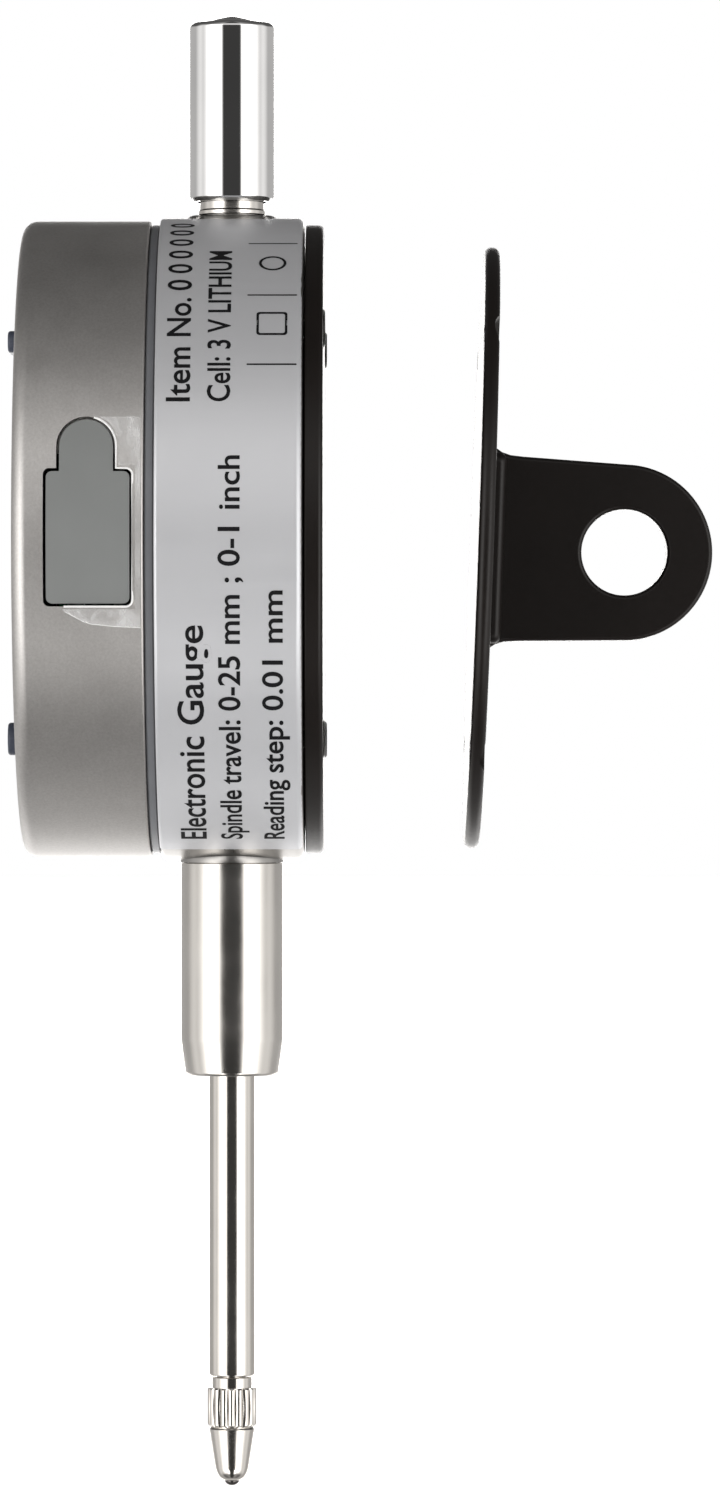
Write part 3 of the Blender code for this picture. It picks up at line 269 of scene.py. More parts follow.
# Own name, colour, roughness, grain, stretch and, where they differ, bump and spread
METALS = {
    "case_metal": ("turned_case", (0.40, 0.39, 0.375), 0.32, 6.0, ROUND_Y, 0.3),
    "stem_steel": ("ground_stem", (0.70, 0.675, 0.64), 0.20, 9.0, ROUND_Z, 0.3),
    "spindle_steel": ("ground_spindle", (0.72, 0.69, 0.65), 0.16, 11.0, ROUND_Z, 0.2),
    "chrome_cap": ("chrome_cap", (0.84, 0.84, 0.84), 0.055, 7.0, ROUND_Z, 0.04, 0.03),
    "bronze_bush": ("bronze_bush", (0.60, 0.40, 0.20), 0.35, 5.0, ROUND_Z),
    "carriage_brass": ("machined_brass", (0.66, 0.50, 0.22), 0.32, 4.0, (1, 1, 0.1)),
    "steel_screw": ("plain_steel", (0.55, 0.55, 0.54), 0.30, 6.0, (1, 0.2, 1)),
    "spring_steel": ("spring_steel", (0.50, 0.50, 0.49), 0.28, 6.0, EVEN),
    "battery_steel": ("cell_steel", (0.30, 0.295, 0.29), 0.36, 4.0, ROUND_Y),
    "carbide": ("carbide", (0.13, 0.12, 0.115), 0.2, 6.0, EVEN, 0.1),
}
# Colour, roughness and, where they differ, grain, bump, variation, depth and specular level
MOULDED = {
    "black_screw": ((0.008, 0.006, 0.005), 0.38, 5.0, 0.3, 0.2, 0.02, 0.3),
    "black_enamel": ((0.0072, 0.0052, 0.0044), 0.38, 2.6, 0.16, 0.2, 0.02, 0.3),
    "black_polymer": ((0.022, 0.022, 0.025), 0.50, 4.0),
    "black_rubber": ((0.02, 0.02, 0.02), 0.72, 4.0),
    "port_grey": ((0.195, 0.203, 0.199), 0.58, 4.0, 0.22, 0.05),
    "button_blue_grey": ((0.05, 0.058, 0.085), 0.48, 4.0),
    "display_glass": ((0.30, 0.345, 0.29), 0.22, 2.0, 0.03, 0.05),
    "face_silver": ((0.42, 0.43, 0.44), 0.38, 5.0, 0.15, 0.04),
    "ribbon_amber": ((0.50, 0.23, 0.04), 0.32, 2.0, 0.05),
    "groove_black": ((0.17, 0.175, 0.19), 0.4, 4.0),
    # Plain white on the clear film's cut edge: a painted highlight standing in for the edge's
    # glint
    "film_edge_painted_highlight": ((0.92, 0.92, 0.91), 0.25, 4.0, 0.2, 0.02),
    "ink": ((0.006, 0.006, 0.007), 0.6, 5.0, 0.1, 0.2, 0.02, 0.15),
}


def make_materials():
    """Make every material, under the name that the pieces and the CAD's slots use."""
    made = {name: ground_metal(*settings) for name, settings in METALS.items()}
    made |= {name: moulded(name, *settings) for name, settings in MOULDED.items()}
    made["bezel_metal"] = satin_housing()
    made["foil_label"] = foil()
    made["board_green"] = circuit_board()
    made["clear_window"] = clear_sheet("clear_window", (0.92, 0.95, 0.95), 0.07, 0.03, 0.3)
    made["film"] = clear_sheet("clear_film", (1.0, 1.0, 1.0), 0.05, 0.12, 0.6, 0.26)
    return made


# ---- Shapes ----


def arc(centre, radius, start, end, steps):
    angles = [start + (end - start) * step / steps for step in range(steps + 1)]
    return [(centre[0] + radius * cos(a), centre[1] + radius * sin(a)) for a in angles]


def turned(profile, axis, segments):
    """Spin (radius, distance along the axis) points; a loop off the axis makes a ring."""
    shape = bmesh.new()
    along = AXES[axis]
    across = AXES["Z"] if axis == "X" else AXES["X"]
    points = [shape.verts.new(across * radius + along * step) for radius, step in profile]
    edges = [shape.edges.new(pair) for pair in zip(points, points[1:])]
    if profile[0][0] > 0:
        edges.append(shape.edges.new((points[-1], points[0])))
    bmesh.ops.spin(shape, geom=points + edges, cent=(0, 0, 0), axis=along, angle=2 * pi,
                   steps=segments, use_merge=True)
    bmesh.ops.remove_doubles(shape, verts=shape.verts, dist=WELD)
    bmesh.ops.recalc_face_normals(shape, faces=shape.faces)
    return shape


def extruded(outline, axis, reach):
    """Push an outline along an axis: (y, z) along X, (x, z) along Y, (x, y) along Z."""
    start, end = reach
    across = {"X": ("Y", "Z"), "Y": ("X", "Z"), "Z": ("X", "Y")}[axis]
    shape = bmesh.new()
    corners = [
        shape.verts.new(AXES[across[0]] * u + AXES[across[1]] * v + AXES[axis] * start)
        for u, v in outline
    ]
    face = shape.faces.new(corners)
    pushed = bmesh.ops.extrude_face_region(shape, geom=[face])["geom"]
    moved = [item for item in pushed if isinstance(item, bmesh.types.BMVert)]
    bmesh.ops.translate(shape, verts=moved, vec=AXES[axis] * (end - start))
    bmesh.ops.recalc_face_normals(shape, faces=shape.faces)
    return shape


def rounded_rectangle(centre, size, radius, steps=6):
    outline = []
    for turn, (across, up) in enumerate(CORNERS):
        corner = (centre[0] + across * (size[0] / 2 - radius),
                  centre[1] + up * (size[1] / 2 - radius))
        outline += arc(corner, radius, turn * pi / 2, (turn + 1) * pi / 2, steps)
    return outline


def shifted(shape, offset):
    bmesh.ops.translate(shape, verts=shape.verts, vec=Vector(offset))
    return shape


def added(name, data):
    """Put a new object with this data in the scene."""
    item = bpy.data.objects.new(name, data)
    bpy.context.scene.collection.objects.link(item)
    return item


def discard(item):
    """Remove an object and its mesh."""
    mesh = item.data
    bpy.data.objects.remove(item)
    bpy.data.meshes.remove(mesh)


def scratch(shape):
    """Give a short-lived object that modifiers can work on."""
    mesh = bpy.data.meshes.new("scratch")
    shape.to_mesh(mesh)
    shape.free()
    return added("scratch", mesh)


def baked(item):
    """Give an object's shape with its modifiers applied, and remove the object."""
    result = bmesh.new()
    result.from_object(item, bpy.context.evaluated_depsgraph_get())
    discard(item)
    return result


def curve_shape(curve):
    """Give a curve's shape as a mesh, and remove the curve."""
    item = added(curve.name, curve)
    evaluated = item.evaluated_get(bpy.context.evaluated_depsgraph_get())
    mesh = bpy.data.meshes.new_from_object(evaluated)
    shape = bmesh.new()
    shape.from_mesh(mesh)
    bpy.data.meshes.remove(mesh)
    bpy.data.objects.remove(item)
    bpy.data.curves.remove(curve)
    return shape


def joined(shapes):
    """Put several shapes together as one, without cutting them."""
    whole = bmesh.new()
    for shape in shapes:
        mesh = bpy.data.meshes.new("joined")
        shape.to_mesh(mesh)
        shape.free()
        whole.from_mesh(mesh)
        bpy.data.meshes.remove(mesh)
    return whole


def combined(shape, other, operation):
    """Join, cut or intersect two shapes."""
    body = scratch(shape)
    tool = scratch(other)
    boolean = body.modifiers.new("boolean", "BOOLEAN")
    boolean.operation = operation
    boolean.object = tool
    result = baked(body)
    discard(tool)
    return result


def cut(shape, tool):
    return combined(shape, tool, "DIFFERENCE")


def flat_frame(outer, inner, axis, reach):
    """Make a flat rounded frame from outer and inner (width, height, corner radius)."""
    through = (reach[0] - MM, reach[1] + MM)
    plate, hole = (
        extruded(rounded_rectangle((0, 0), (width, height), radius), axis, ends)
        for (width, height, radius), ends in ((outer, reach), (inner, through))
    )
    return cut(plate, hole)


def thickened(shape, thickness, offset):
    body = scratch(shape)
    solidify = body.modifiers.new("thickness", "SOLIDIFY")
    solidify.thickness = thickness
    solidify.offset = offset
    return baked(body)


def softened(shape, width, segments=2, limit=radians(40)):
    """Round a shape's sharp edges."""
    body = scratch(shape)
    bevel = body.modifiers.new("bevel", "BEVEL")
    bevel.width = width
    bevel.segments = segments
    bevel.limit_method = "ANGLE"
    bevel.angle_limit = limit
    return baked(body)


def piece(name, shape, material, body, slot, *nodes, centred=True):
    """Name one finished shape, shade it and let it ride on its body.

    A centred shape was made round the case's centre line and is lifted up to it.
    """
    mesh = bpy.data.meshes.new(name)
    if centred:
        shifted(shape, (0, 0, CENTRE_Z))
    shape.to_mesh(mesh)
    shape.free()
    mesh.materials.append(MATERIALS[material])
    mesh.shade_smooth()
    mesh.set_sharp_from_angle(angle=SHARP)
    item = added(name, mesh)
    normals = item.modifiers.new("even normals", "WEIGHTED_NORMAL")
    normals.keep_sharp = True
    normals.weight = 100
    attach(item, body)
    if nodes:
        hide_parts(*nodes)
    return item


# ---- Case ----


def case_shell():
    """Turn the rear case, add the bosses above and below it, and bore them."""
    edge = 0.55 * MM
    bore = 27.5 * MM
    hub = 21.0 * MM
    hub_wall = 2.0 * MM
    opening = 12.0 * MM
    web_back = -4.9 * MM
    hub_front = span("rear_case", "Y")[0]
    back_corner = (CASE_RADIUS - edge, CASE_BACK - edge)
    front_corner = (CASE_RADIUS - edge, CASE_FRONT + edge)
    profile = [
        (bore, CASE_BACK),
        *arc(back_corner, edge, pi / 2, 0, 6),
        *arc(front_corner, edge, 0, -pi / 2, 6),
        (hub, CASE_FRONT),
        (hub, hub_front),
        (hub - hub_wall, hub_front),
        (hub - hub_wall, CASE_FRONT),
        (opening, CASE_FRONT),
        (opening, web_back),
        (bore, web_back),
    ]
    shell = turned(profile, "Y", FINE)
    root = 26.0 * MM
    boss = 4.9 * MM
    top = span("rear_case", "Z")[1] - CENTRE_Z
    upper = [(0, top), (4.0 * MM, top), (4.2 * MM, top - 0.12 * MM), (boss, top - 0.5 * MM),
             (boss, root), (0, root)]
    shell = combined(shell, turned(upper, "Z", SMALL), "UNION")
    lower = [(0, -root), (boss + 0.15 * MM, -root), (boss + 0.15 * MM, 0.5 * MM - CASE_RADIUS),
             (boss - 0.04 * MM, 0.1 * MM - CASE_RADIUS), (boss - 0.1 * MM, -top), (0, -top)]
    shell = combined(shell, turned(lower, "Z", MEDIUM), "UNION")
    for radius, low, high in ((3.3 * MM, 25 * MM, 31 * MM), (4.2 * MM, -31 * MM, -25 * MM)):
        hole = turned([(0, high), (radius, high), (radius, low), (0, low)], "Z", SMALL)
        shell = cut(shell, hole)
    piece("case_shell", shell, "case_metal", "case", "case_metal", "rear_case")


def wrap(shape, radius, baseline, start):
    """Bend flat lettering round the case: its run goes up the side, its tops point forward."""
    for vertex in shape.verts:
        angle = start + vertex.co.x / radius
        lift = radius + vertex.co.z
        vertex.co = Vector((lift * cos(angle), baseline - vertex.co.y, lift * sin(angle)))
    return shape


LETTER_LIFT = 0.012 * MM
CAPITAL_SHARE = 0.70          # height of the font's capitals as a share of its size


def lettering(words, height, bold=0.0):
    """Give words as a thin solid shape starting at (0, 0), with capitals of one height."""
    curve = bpy.data.curves.new("words", "FONT")
    curve.body = words
    curve.size = height / CAPITAL_SHARE
    curve.extrude = LETTER_LIFT / 2
    curve.offset = bold
    curve.resolution_u = 5
    shape = curve_shape(curve)
    left = min(vertex.co.x for vertex in shape.verts)
    bmesh.ops.remove_doubles(shape, verts=shape.verts, dist=WELD / 10)
    return shifted(shape, (-left, 0, LETTER_LIFT / 2))


def fitted(shape, length):
    """Narrow or widen lettering to a length."""
    width = max(vertex.co.x for vertex in shape.verts)
    for vertex in shape.verts:
        vertex.co.x *= length / width
    return shape


def label_foil():
    """Wrap the label round the right side, its long edges turned down, with a few creases."""
    front = CASE_FRONT - 0.02 * MM
    back = CASE_BACK - 0.12 * MM
    start, end = radians(-74), radians(81)
    steps = 150
    crease_width = radians(0.8)
    creases = ((radians(47.6), -0.03), (radians(51), -0.02), (radians(-52), -0.02))
    depths = [(front, -0.16), (front + 0.12 * MM, -0.04), (front + 0.3 * MM, 0),
              (back - 0.5 * MM, 0), (back - 0.2 * MM, -0.06), (back, -0.28)]
    shape = bmesh.new()
    rows = []
    for step in range(steps + 1):
        angle = start + (end - start) * step / steps
        lift = sum(size * MM * exp(-((angle - at) / crease_width) ** 2) for at, size in creases)
        row = []
        for y, drop in depths:
            radius = LABEL_RADIUS + lift + drop * MM
            row.append(shape.verts.new((radius * cos(angle), y, radius * sin(angle))))
        rows.append(row)
    for first, second in zip(rows, rows[1:]):
        for index in range(len(depths) - 1):
            shape.faces.new((first[index], first[index + 1], second[index + 1], second[index]))
    bmesh.ops.recalc_face_normals(shape, faces=shape.faces)
    shape.normal_update()
    shape.faces.ensure_lookup_table()
    inward = -1 if shape.faces[0].normal.x > 0 else 1
    piece("label_foil", thickened(shape, 0.05 * MM, inward), "foil_label", "case", "foil_label",
          "label")


# Name, words, capital height, length along the curve and y of the baseline in millimetres, and
# the angle where the words start in degrees
LABEL_LINES = (
    ("title", "Electronic Gauge", 2.35, 27.0, -2.15, -68.0),
    ("travel", "Spindle travel: 0-25 mm ; 0-1 inch", 1.95, 42.4, 1.15, -68.0),
    ("step", "Reading step: 0.01 mm", 1.85, 30.2, 5.0, -68.0),
    ("number", "Item No. 0 0 0 0 0 0", 2.15, 27.2, -3.35, 22.8),
    ("cell", "Cell: 3 V LITHIUM", 2.05, 19.4, 0.25, 22.8),
)


def label_print():
    """Print the label's words, and plain rules, a ring and a square in place of its marks."""
    ink_radius = LABEL_RADIUS + 0.01 * MM
    bold = 0.035 * MM
    for name, words, height, length, baseline, start in LABEL_LINES:
        shape = fitted(lettering(words, height * MM, bold), length * MM)
        piece(f"print_{name}", wrap(shape, ink_radius, baseline * MM, radians(start)), "ink",
              "case", "foil_label")
    rule = 0.16 * MM
    marks_y = 4.0 * MM
    for number, angle in enumerate((30.1, 46.0, 63.0), 1):
        bar = rounded_rectangle((0, 0), (rule, 4.5 * MM), rule / 3, 2)
        solid = extruded(bar, "Z", (0, LETTER_LIFT))
        piece(f"print_rule_{number}", wrap(solid, ink_radius, marks_y, radians(angle)), "ink",
              "case", "foil_label")
    inner, outer = 1.0 * MM, 1.25 * MM
    ring = [(inner, 0), (outer, 0), (outer, LETTER_LIFT), (inner, LETTER_LIFT)]
    piece("print_ring", wrap(turned(ring, "Z", SMALL), ink_radius, marks_y, radians(55.5)),
          "ink", "case", "foil_label")
    square = flat_frame((2.8 * MM, 2.8 * MM, 0.3 * MM), (2.35 * MM, 2.35 * MM, 0.2 * MM), "Z",
                        (0, LETTER_LIFT))
    piece("print_square", wrap(square, ink_radius, marks_y, radians(39.0)), "ink", "case",
          "foil_label")


COVER_SCREWS = [f"back_screw_{number}" for number in range(1, 5)]


def cover_plate():
    edge = 0.45 * MM
    nick = 0.1 * MM
    corner = (COVER_RADIUS - edge, COVER[1] - edge)
    profile = [
        (0, COVER[1]),
        *arc(corner, edge, pi / 2, 0, 8),
        (COVER_RADIUS, COVER[0] + nick),
        (COVER_RADIUS - nick, COVER[0]),
        (0, COVER[0]),
    ]
    plate = turned(profile, "Y", FINE)
    sink_radius = 2.05 * MM
    sink_floor = COVER[1] - 0.8 * MM
    sink_top = 1.0
    for node in COVER_SCREWS:
        x, z = middle(node)
        sink = turned([(0, sink_top), (sink_radius, sink_top), (sink_radius, sink_floor),
                       (0, sink_floor)], "Y", SMALL)
        plate = cut(plate, shifted(sink, (x, 0, z - CENTRE_Z)))
    piece("cover_plate", softened(plate, 0.08 * MM), "black_enamel", "case", "black_enamel",
          "back_cover")


def cover_screws():
    """Make the cover's pan heads, each with a cross recess at its own angle."""
    edge = 0.3 * MM
    shank = 0.8 * MM
    slot_width, slot_length, slot_depth = 0.42 * MM, 2.0 * MM, 0.45 * MM
    for number, node in enumerate(COVER_SCREWS, 1):
        x, z = middle(node)
        top = span(node, "Y")[1]
        radius = (span(node, "X")[1] - span(node, "X")[0]) / 2
        under = top - 0.7 * MM
        profile = [(0, top), *arc((radius - edge, top - edge), edge, pi / 2, 0, 5),
                   (radius, under), (shank, under), (shank, MM), (0, MM)]
        head = turned(profile, "Y", SMALL)
        for size in ((slot_width, slot_length), (slot_length, slot_width)):
            arm = extruded(rounded_rectangle((0, 0), size, 0.05 * MM, 1), "Y",
                           (top - slot_depth, top + MM))
            head = cut(head, arm)
        head.transform(Matrix.Rotation(radians(17 + 31 * number), 4, "Y"))
        piece(f"cover_screw_{number}", shifted(head, (x, 0, z)), "black_screw", "case",
              "black_screw", node, centred=False)


def groove_ring():
    """Make the dark ring seen in the groove between the case and the display unit."""
    front, back = span("slip_ring", "Y")
    front -= 0.08 * MM
    back += 0.24 * MM
    outer = span("slip_ring", "X")[1] + 0.5 * MM
    inner = outer - 2.8 * MM
    edge = 0.12 * MM
    profile = [(inner, back), (outer - edge, back), (outer, back - edge), (outer, front + edge),
               (outer - edge, front), (inner, front)]
    piece("groove_ring", turned(profile, "Y", FINE), "groove_black", "case", "black_polymer",
          "slip_ring")


def stem_sleeve():
    """Make the clamp stem, tapered at its foot, with a seat inside for the stem bush."""
    low, high = span("stem", "Z")
    top = high - 4.78 * MM
    edge = 0.08 * MM
    tip = 4.32 * MM
    seat = low + 10.3 * MM
    bush_bore = 3.4 * MM
    bore = 2.5 * MM
    root = 3.9 * MM
    profile = [
        (STEM_RADIUS - edge, top),
        (STEM_RADIUS, top - edge),
        (STEM_RADIUS, low + 3.3 * MM),
        (STEM_RADIUS - 0.03 * MM, low + 3.1 * MM),
        (tip + 0.05 * MM, low + 0.3 * MM),
        (tip - 0.25 * MM, low),
        (bush_bore, low),
        (bush_bore, seat),
        (bore, seat),
        (bore, high),
        (root, high),
        (root, top),
    ]
    piece("stem_sleeve", turned(profile, "Z", MEDIUM), "stem_steel", "case", "stem_steel",
          "stem", centred=False)


def neck_sleeve():
    """Make the neck that guides the spindle above the case, with a low collar at its foot."""
    low, high = span("upper_bush", "Z")
    shoulder = CENTRE_Z + 25.7 * MM
    foot = CENTRE_Z + 30.35 * MM
    neck = 3.0 * MM
    collar = neck + 0.12 * MM
    root = 3.8 * MM
    bore = SPINDLE_RADIUS + 0.06 * MM
    profile = [(bore, high), (neck, high), (neck, foot + 0.45 * MM), (collar, foot + 0.3 * MM),
               (collar, foot), (neck, foot - 0.1 * MM), (neck, shoulder), (root, shoulder),
               (root, low), (bore, low)]
    piece("neck_sleeve", turned(profile, "Z", MEDIUM), "stem_steel", "case", "stem_steel",
          "upper_bush", centred=False)


def cap_shell():
    """Make the dust cap, with a shallow pointed top and a thread bore that opens downward."""
    low, high = span("dust_cap", "Z")
    shoulder = high - 1.2 * MM
    round_edge = 0.5 * MM
    bore = 2.6 * MM
    mouth = 3.3 * MM
    ceiling = high - 1.3 * MM
    cone = [(CAP_RADIUS * part, high - 0.9 * MM * (sqrt(part ** 2 + 0.01) - 0.1))
            for part in (0.0, 0.05, 0.1, 0.2, 0.4, 0.6, 0.8)]
    corner = (CAP_RADIUS - round_edge, shoulder)
    profile = [
        *cone,
        *arc(corner, round_edge, radians(77), 0, 8),
        (CAP_RADIUS, low + 0.45 * MM),
        (CAP_RADIUS - 0.08 * MM, low + 0.3 * MM),
        (CAP_RADIUS - 0.3 * MM, low),
        (mouth, low),
        (mouth, low + 4.8 * MM),
        (bore, low + 5.4 * MM),
        (bore, ceiling),
        (0, ceiling),
    ]
    piece("cap_shell", turned(profile, "Z", FINE), "chrome_cap", "cap", "chrome_cap",
          "dust_cap", centred=False)


# ---- Spindle ----


def spindle_rod():
    low, high = span("spindle", "Z")
    edge = 0.35 * MM
    thread = 1.5 * MM
    thread_top = low + 3.9 * MM
    profile = [(0, high), (SPINDLE_RADIUS - edge, high), (SPINDLE_RADIUS, high - edge),
               (SPINDLE_RADIUS, low + 0.18 * MM), (SPINDLE_RADIUS - 0.14 * MM, low),
               (thread, low), (thread, thread_top), (0, thread_top)]
    piece("spindle_rod", turned(profile, "Z", MEDIUM), "spindle_steel", "spindle",
          "spindle_steel", "spindle", centred=False)


def contact_body():
    """Make the contact point: a neck, a fluted grip and a taper that rounds in to the insert."""
    low, high = span("contact_point", "Z")
    top = CENTRE_Z - 78.4 * MM
    grip_top = top - 0.8 * MM
    grip_low = top - 4.45 * MM
    grip_middle = (grip_top + grip_low) / 2
    thread, neck, grip, bore = 1.2 * MM, 1.85 * MM, 2.3 * MM, 0.72 * MM
    bevel = 0.15 * MM
    taper = [(1.55, 0.2), (1.44, -0.2), (1.24, -0.62), (0.96, -0.86), (0.78, -0.94)]
    nose = low + taper[-1][1] * MM
    profile = [
        (0, high), (thread, high), (thread, top + 0.22 * MM), (neck - 0.1 * MM, top + 0.22 * MM),
        (neck, top + 0.1 * MM), (neck, grip_top),
        (grip - bevel, grip_top), (grip, grip_top - bevel),
        (grip, grip_middle + bevel), (grip, grip_middle - bevel),
        (grip, grip_low + 0.2 * MM), (grip - 0.2 * MM, grip_low),
        (2.0 * MM, grip_low - 0.05 * MM), (2.12 * MM, grip_low - 0.25 * MM),
        *[(radius * MM, low + level * MM) for radius, level in taper],
        (bore, nose), (bore, low + 1.3 * MM), (0, low + 1.3 * MM),
    ]
    flutes = 18
    per_flute = 8
    flute_depth = 0.24 * MM
    shape = turned(profile, "Z", flutes * per_flute)
    for vertex in shape.verts:
        radius = vertex.co.xy.length
        in_grip = grip_low + 0.1 * MM < vertex.co.z < grip_top - 0.1 * MM
        if in_grip and radius > grip - 0.01 * MM:
            wave = abs(cos(atan2(vertex.co.y, vertex.co.x) * flutes / 2))
            drop = flute_depth * (1 - wave ** 0.7)
            vertex.co.xy = vertex.co.xy * (radius - drop) / radius
    piece("contact_body", shape, "spindle_steel", "spindle", "spindle_steel", "contact_point",
          centred=False)


def contact_tip():
    """Make the hard insert: a plain pin with a round end, set in the contact point."""
    bottom, top = span("contact_insert", "Z")
    radius = 0.68 * MM
    depth = 0.5 * MM
    dome = [(radius * sqrt(1 - part ** 2), bottom + depth * (1 - part))
            for part in (0.2, 0.4, 0.6, 0.75, 0.88, 0.96)]
    profile = [(0, top), (radius, top), (radius, bottom + depth), *dome, (0, bottom)]
    piece("contact_tip", turned(profile, "Z", SMALL), "carbide", "spindle", "carbide",
          "contact_insert", centred=False)


# ---- Display unit ----

PORT_Y = span("port_cover", "Y")
PORT_Z = tuple(z - CENTRE_Z for z in span("port_cover", "Z"))
PORT_SHOULDER = 5.33 * MM
TAB_RADIUS = 2.42 * MM
TAB_CENTRE = (-12.6 * MM, PORT_Z[1] - TAB_RADIUS)
TAB_Y = TAB_CENTRE[0]


def port_outline(grow=0.0, corner=0.55 * MM):
    """Give the port cover's outline in y and z: a rectangle with a round tab on top."""
    front, back = PORT_Y[0] - grow, PORT_Y[1] + grow
    bottom, top = PORT_Z[0] - grow, PORT_SHOULDER + grow
    tab = TAB_RADIUS + grow
    outline = arc((front + corner, bottom + corner), corner, pi, 1.5 * pi, 5)
    outline += arc((back - corner, bottom + corner), corner, 1.5 * pi, 2 * pi, 5)
    outline += arc((back - corner, top - corner), corner, 0, 0.5 * pi, 5)
    outline.append((TAB_Y + tab, top))
    outline += arc(TAB_CENTRE, tab, 0, pi, 24)
    outline.append((TAB_Y - tab, top))
    outline += arc((front + corner, top - corner), corner, 0.5 * pi, pi, 5)
    return outline


def housing_shell():
    """Turn the display housing, then cut the port and the drawer's slot through its side."""
    front, back = HOUSING[0], HOUSING[1] + 0.15 * MM
    radius = HOUSING_RADIUS
    bend = 1.35 * MM
    edge = 0.22 * MM
    mouth = 26.8 * MM
    rim = mouth - 0.9 * MM
    bore = 27.4 * MM
    hub_bore = 21.3 * MM
    wall = back - 1.2 * MM
    seat, rim_back = front + 1.5 * MM, front + 2.15 * MM
    profile = [
        (hub_bore, back),
        *arc((radius - edge, back - edge), edge, pi / 2, 0, 4),
        *arc((radius - bend, front + bend), bend, 0, -pi / 2, 12),
        (mouth + 0.1 * MM, front),
        (mouth, front + 0.1 * MM),
        (mouth, seat),
        (rim, seat),
        (rim, rim_back),
        (bore, rim_back),
        (bore, wall),
        (hub_bore, wall),
    ]
    shell = turned(profile, "Y", FINE)
    port = extruded(port_outline(0.26 * MM), "X", (26.5 * MM, 32 * MM))
    shell = cut(shell, port)
    tray_front, tray_back = span("battery_tray", "Y")
    slot = rounded_rectangle(((tray_front + tray_back) / 2, 0),
                             (tray_back - tray_front + 0.5 * MM, 23.5 * MM), 0.4 * MM)
    shell = cut(shell, extruded(slot, "X", (-32 * MM, -21 * MM)))
    piece("housing_shell", softened(shell, 0.13 * MM, 3, radians(50)), "bezel_metal", "display",
          "bezel_metal", "front_housing")


def port_plug():
    """Make the port cover: a lid curved like the housing, with a plug behind it."""
    outer = span("port_cover", "X")[1]
    lid_inside = 27.8 * MM
    wall = turned([(lid_inside, HOUSING[1]), (outer, HOUSING[1]), (outer, HOUSING[0]),
                   (lid_inside, HOUSING[0])], "Y", FINE)
    lid = combined(extruded(port_outline(), "X", (26.5 * MM, 32 * MM)), wall, "INTERSECT")
    plug = rounded_rectangle((-12.4 * MM, -0.6 * MM), (3.0 * MM, 7.2 * MM), 0.4 * MM)
    lid = combined(lid, extruded(plug, "X", (26.4 * MM, 28.6 * MM)), "UNION")
    piece("port_plug", softened(lid, 0.14 * MM, 3, radians(50)), "port_grey", "port_cover",
          "port_grey", "port_cover")


FILM_BACK = HOUSING[1] - 0.12 * MM
# The film's uneven lower edge in y and z, from the housing's back edge to under the port
FILM_LOWER = [(FILM_BACK, -8.7 * MM), (-10.0 * MM, -8.6 * MM), (-12.1 * MM, -8.4 * MM),
              (-12.9 * MM, -8.15 * MM), (-13.8 * MM, -7.65 * MM), (-14.5 * MM, -7.3 * MM)]


def on_housing(z, lift):
    """Give the x of a point that stands off the housing's right side by a lift."""
    return sqrt(HOUSING_RADIUS ** 2 - z ** 2) + lift


def film_strip():
    """Make the clear film left round the port, lifted off the housing below the port."""
    grow = 0.5 * MM
    right = PORT_Y[1] + grow
    tab = TAB_RADIUS + grow
    top = 10.25 * MM
    outline = [
        (-11.4 * MM, top), (FILM_BACK, top), *FILM_LOWER,
        (-14.8 * MM, PORT_Z[0] - grow), (right, PORT_Z[0] - grow), (right, PORT_SHOULDER + grow),
        (TAB_Y + tab, PORT_SHOULDER + grow), *arc(TAB_CENTRE, tab, 0, radians(66), 6)]
    shape = bmesh.new()
    shape.faces.new([shape.verts.new((0, y, z)) for y, z in outline])
    shape.normal_update()
    bmesh.ops.triangulate(shape, faces=shape.faces[:])
    for _ in range(4):
        bmesh.ops.subdivide_edges(shape, edges=shape.edges[:], cuts=1, use_grid_fill=True)
    blister = (-12.3 * MM, -7.1 * MM)
    blister_size = (1.9 * MM, 0.9 * MM)
    for vertex in shape.verts:
        y, z = vertex.co.y, vertex.co.z
        reach = (((y - blister[0]) / blister_size[0]) ** 2
                 + ((z - blister[1]) / blister_size[1]) ** 2)
        vertex.co.x = on_housing(z, 0.04 * MM + 0.42 * MM * exp(-reach))
    bmesh.ops.recalc_face_normals(shape, faces=shape.faces)
    piece("film_strip", thickened(shape, 0.03 * MM, 0), "film", "display", "bezel_metal")


def film_edge_painted_highlight(name, path, radius):
    """Run the film's cut edge over the housing along a path in y and z, as a plain white bead
    whose colour is a painted highlight for the edge's glint.
    """
    curve = bpy.data.curves.new(name, "CURVE")
    curve.dimensions = "3D"
    curve.bevel_depth = radius
    curve.bevel_resolution = 2
    curve.use_fill_caps = True
    line = curve.splines.new("POLY")
    line.points.add(len(path) - 1)
    for point, (y, z) in zip(line.points, path):
        point.co = (on_housing(z, 0.05 * MM), y, z, 1)
    piece(name, curve_shape(curve), "film_edge_painted_highlight", "display", "bezel_metal")


def film_edges():
    """Edge the film beside the port and along its uneven lower side, with white beads whose colour
    is a painted highlight for the cut edge's glint.
    """
    grow = 0.27 * MM
    right = PORT_Y[1] + grow
    low = PORT_Z[0] - grow
    shoulder = PORT_SHOULDER + grow
    tab = TAB_RADIUS + grow
    corner = 0.6 * MM
    beside_port = [*arc(TAB_CENTRE, tab, radians(75), 0, 12), (TAB_Y + tab, shoulder),
                   *arc((right - corner, shoulder - corner), corner, pi / 2, 0, 5),
                   *arc((right - corner, low + corner), corner, 0, -pi / 2, 5),
                   (-14.6 * MM, low)]
    film_edge_painted_highlight("film_edge_1", beside_port, 0.1 * MM)
    film_edge_painted_highlight("film_edge_2", FILM_LOWER, 0.035 * MM)


KEY_WIDTH = 6.8 * MM
KEY_GAP = 0.3 * MM


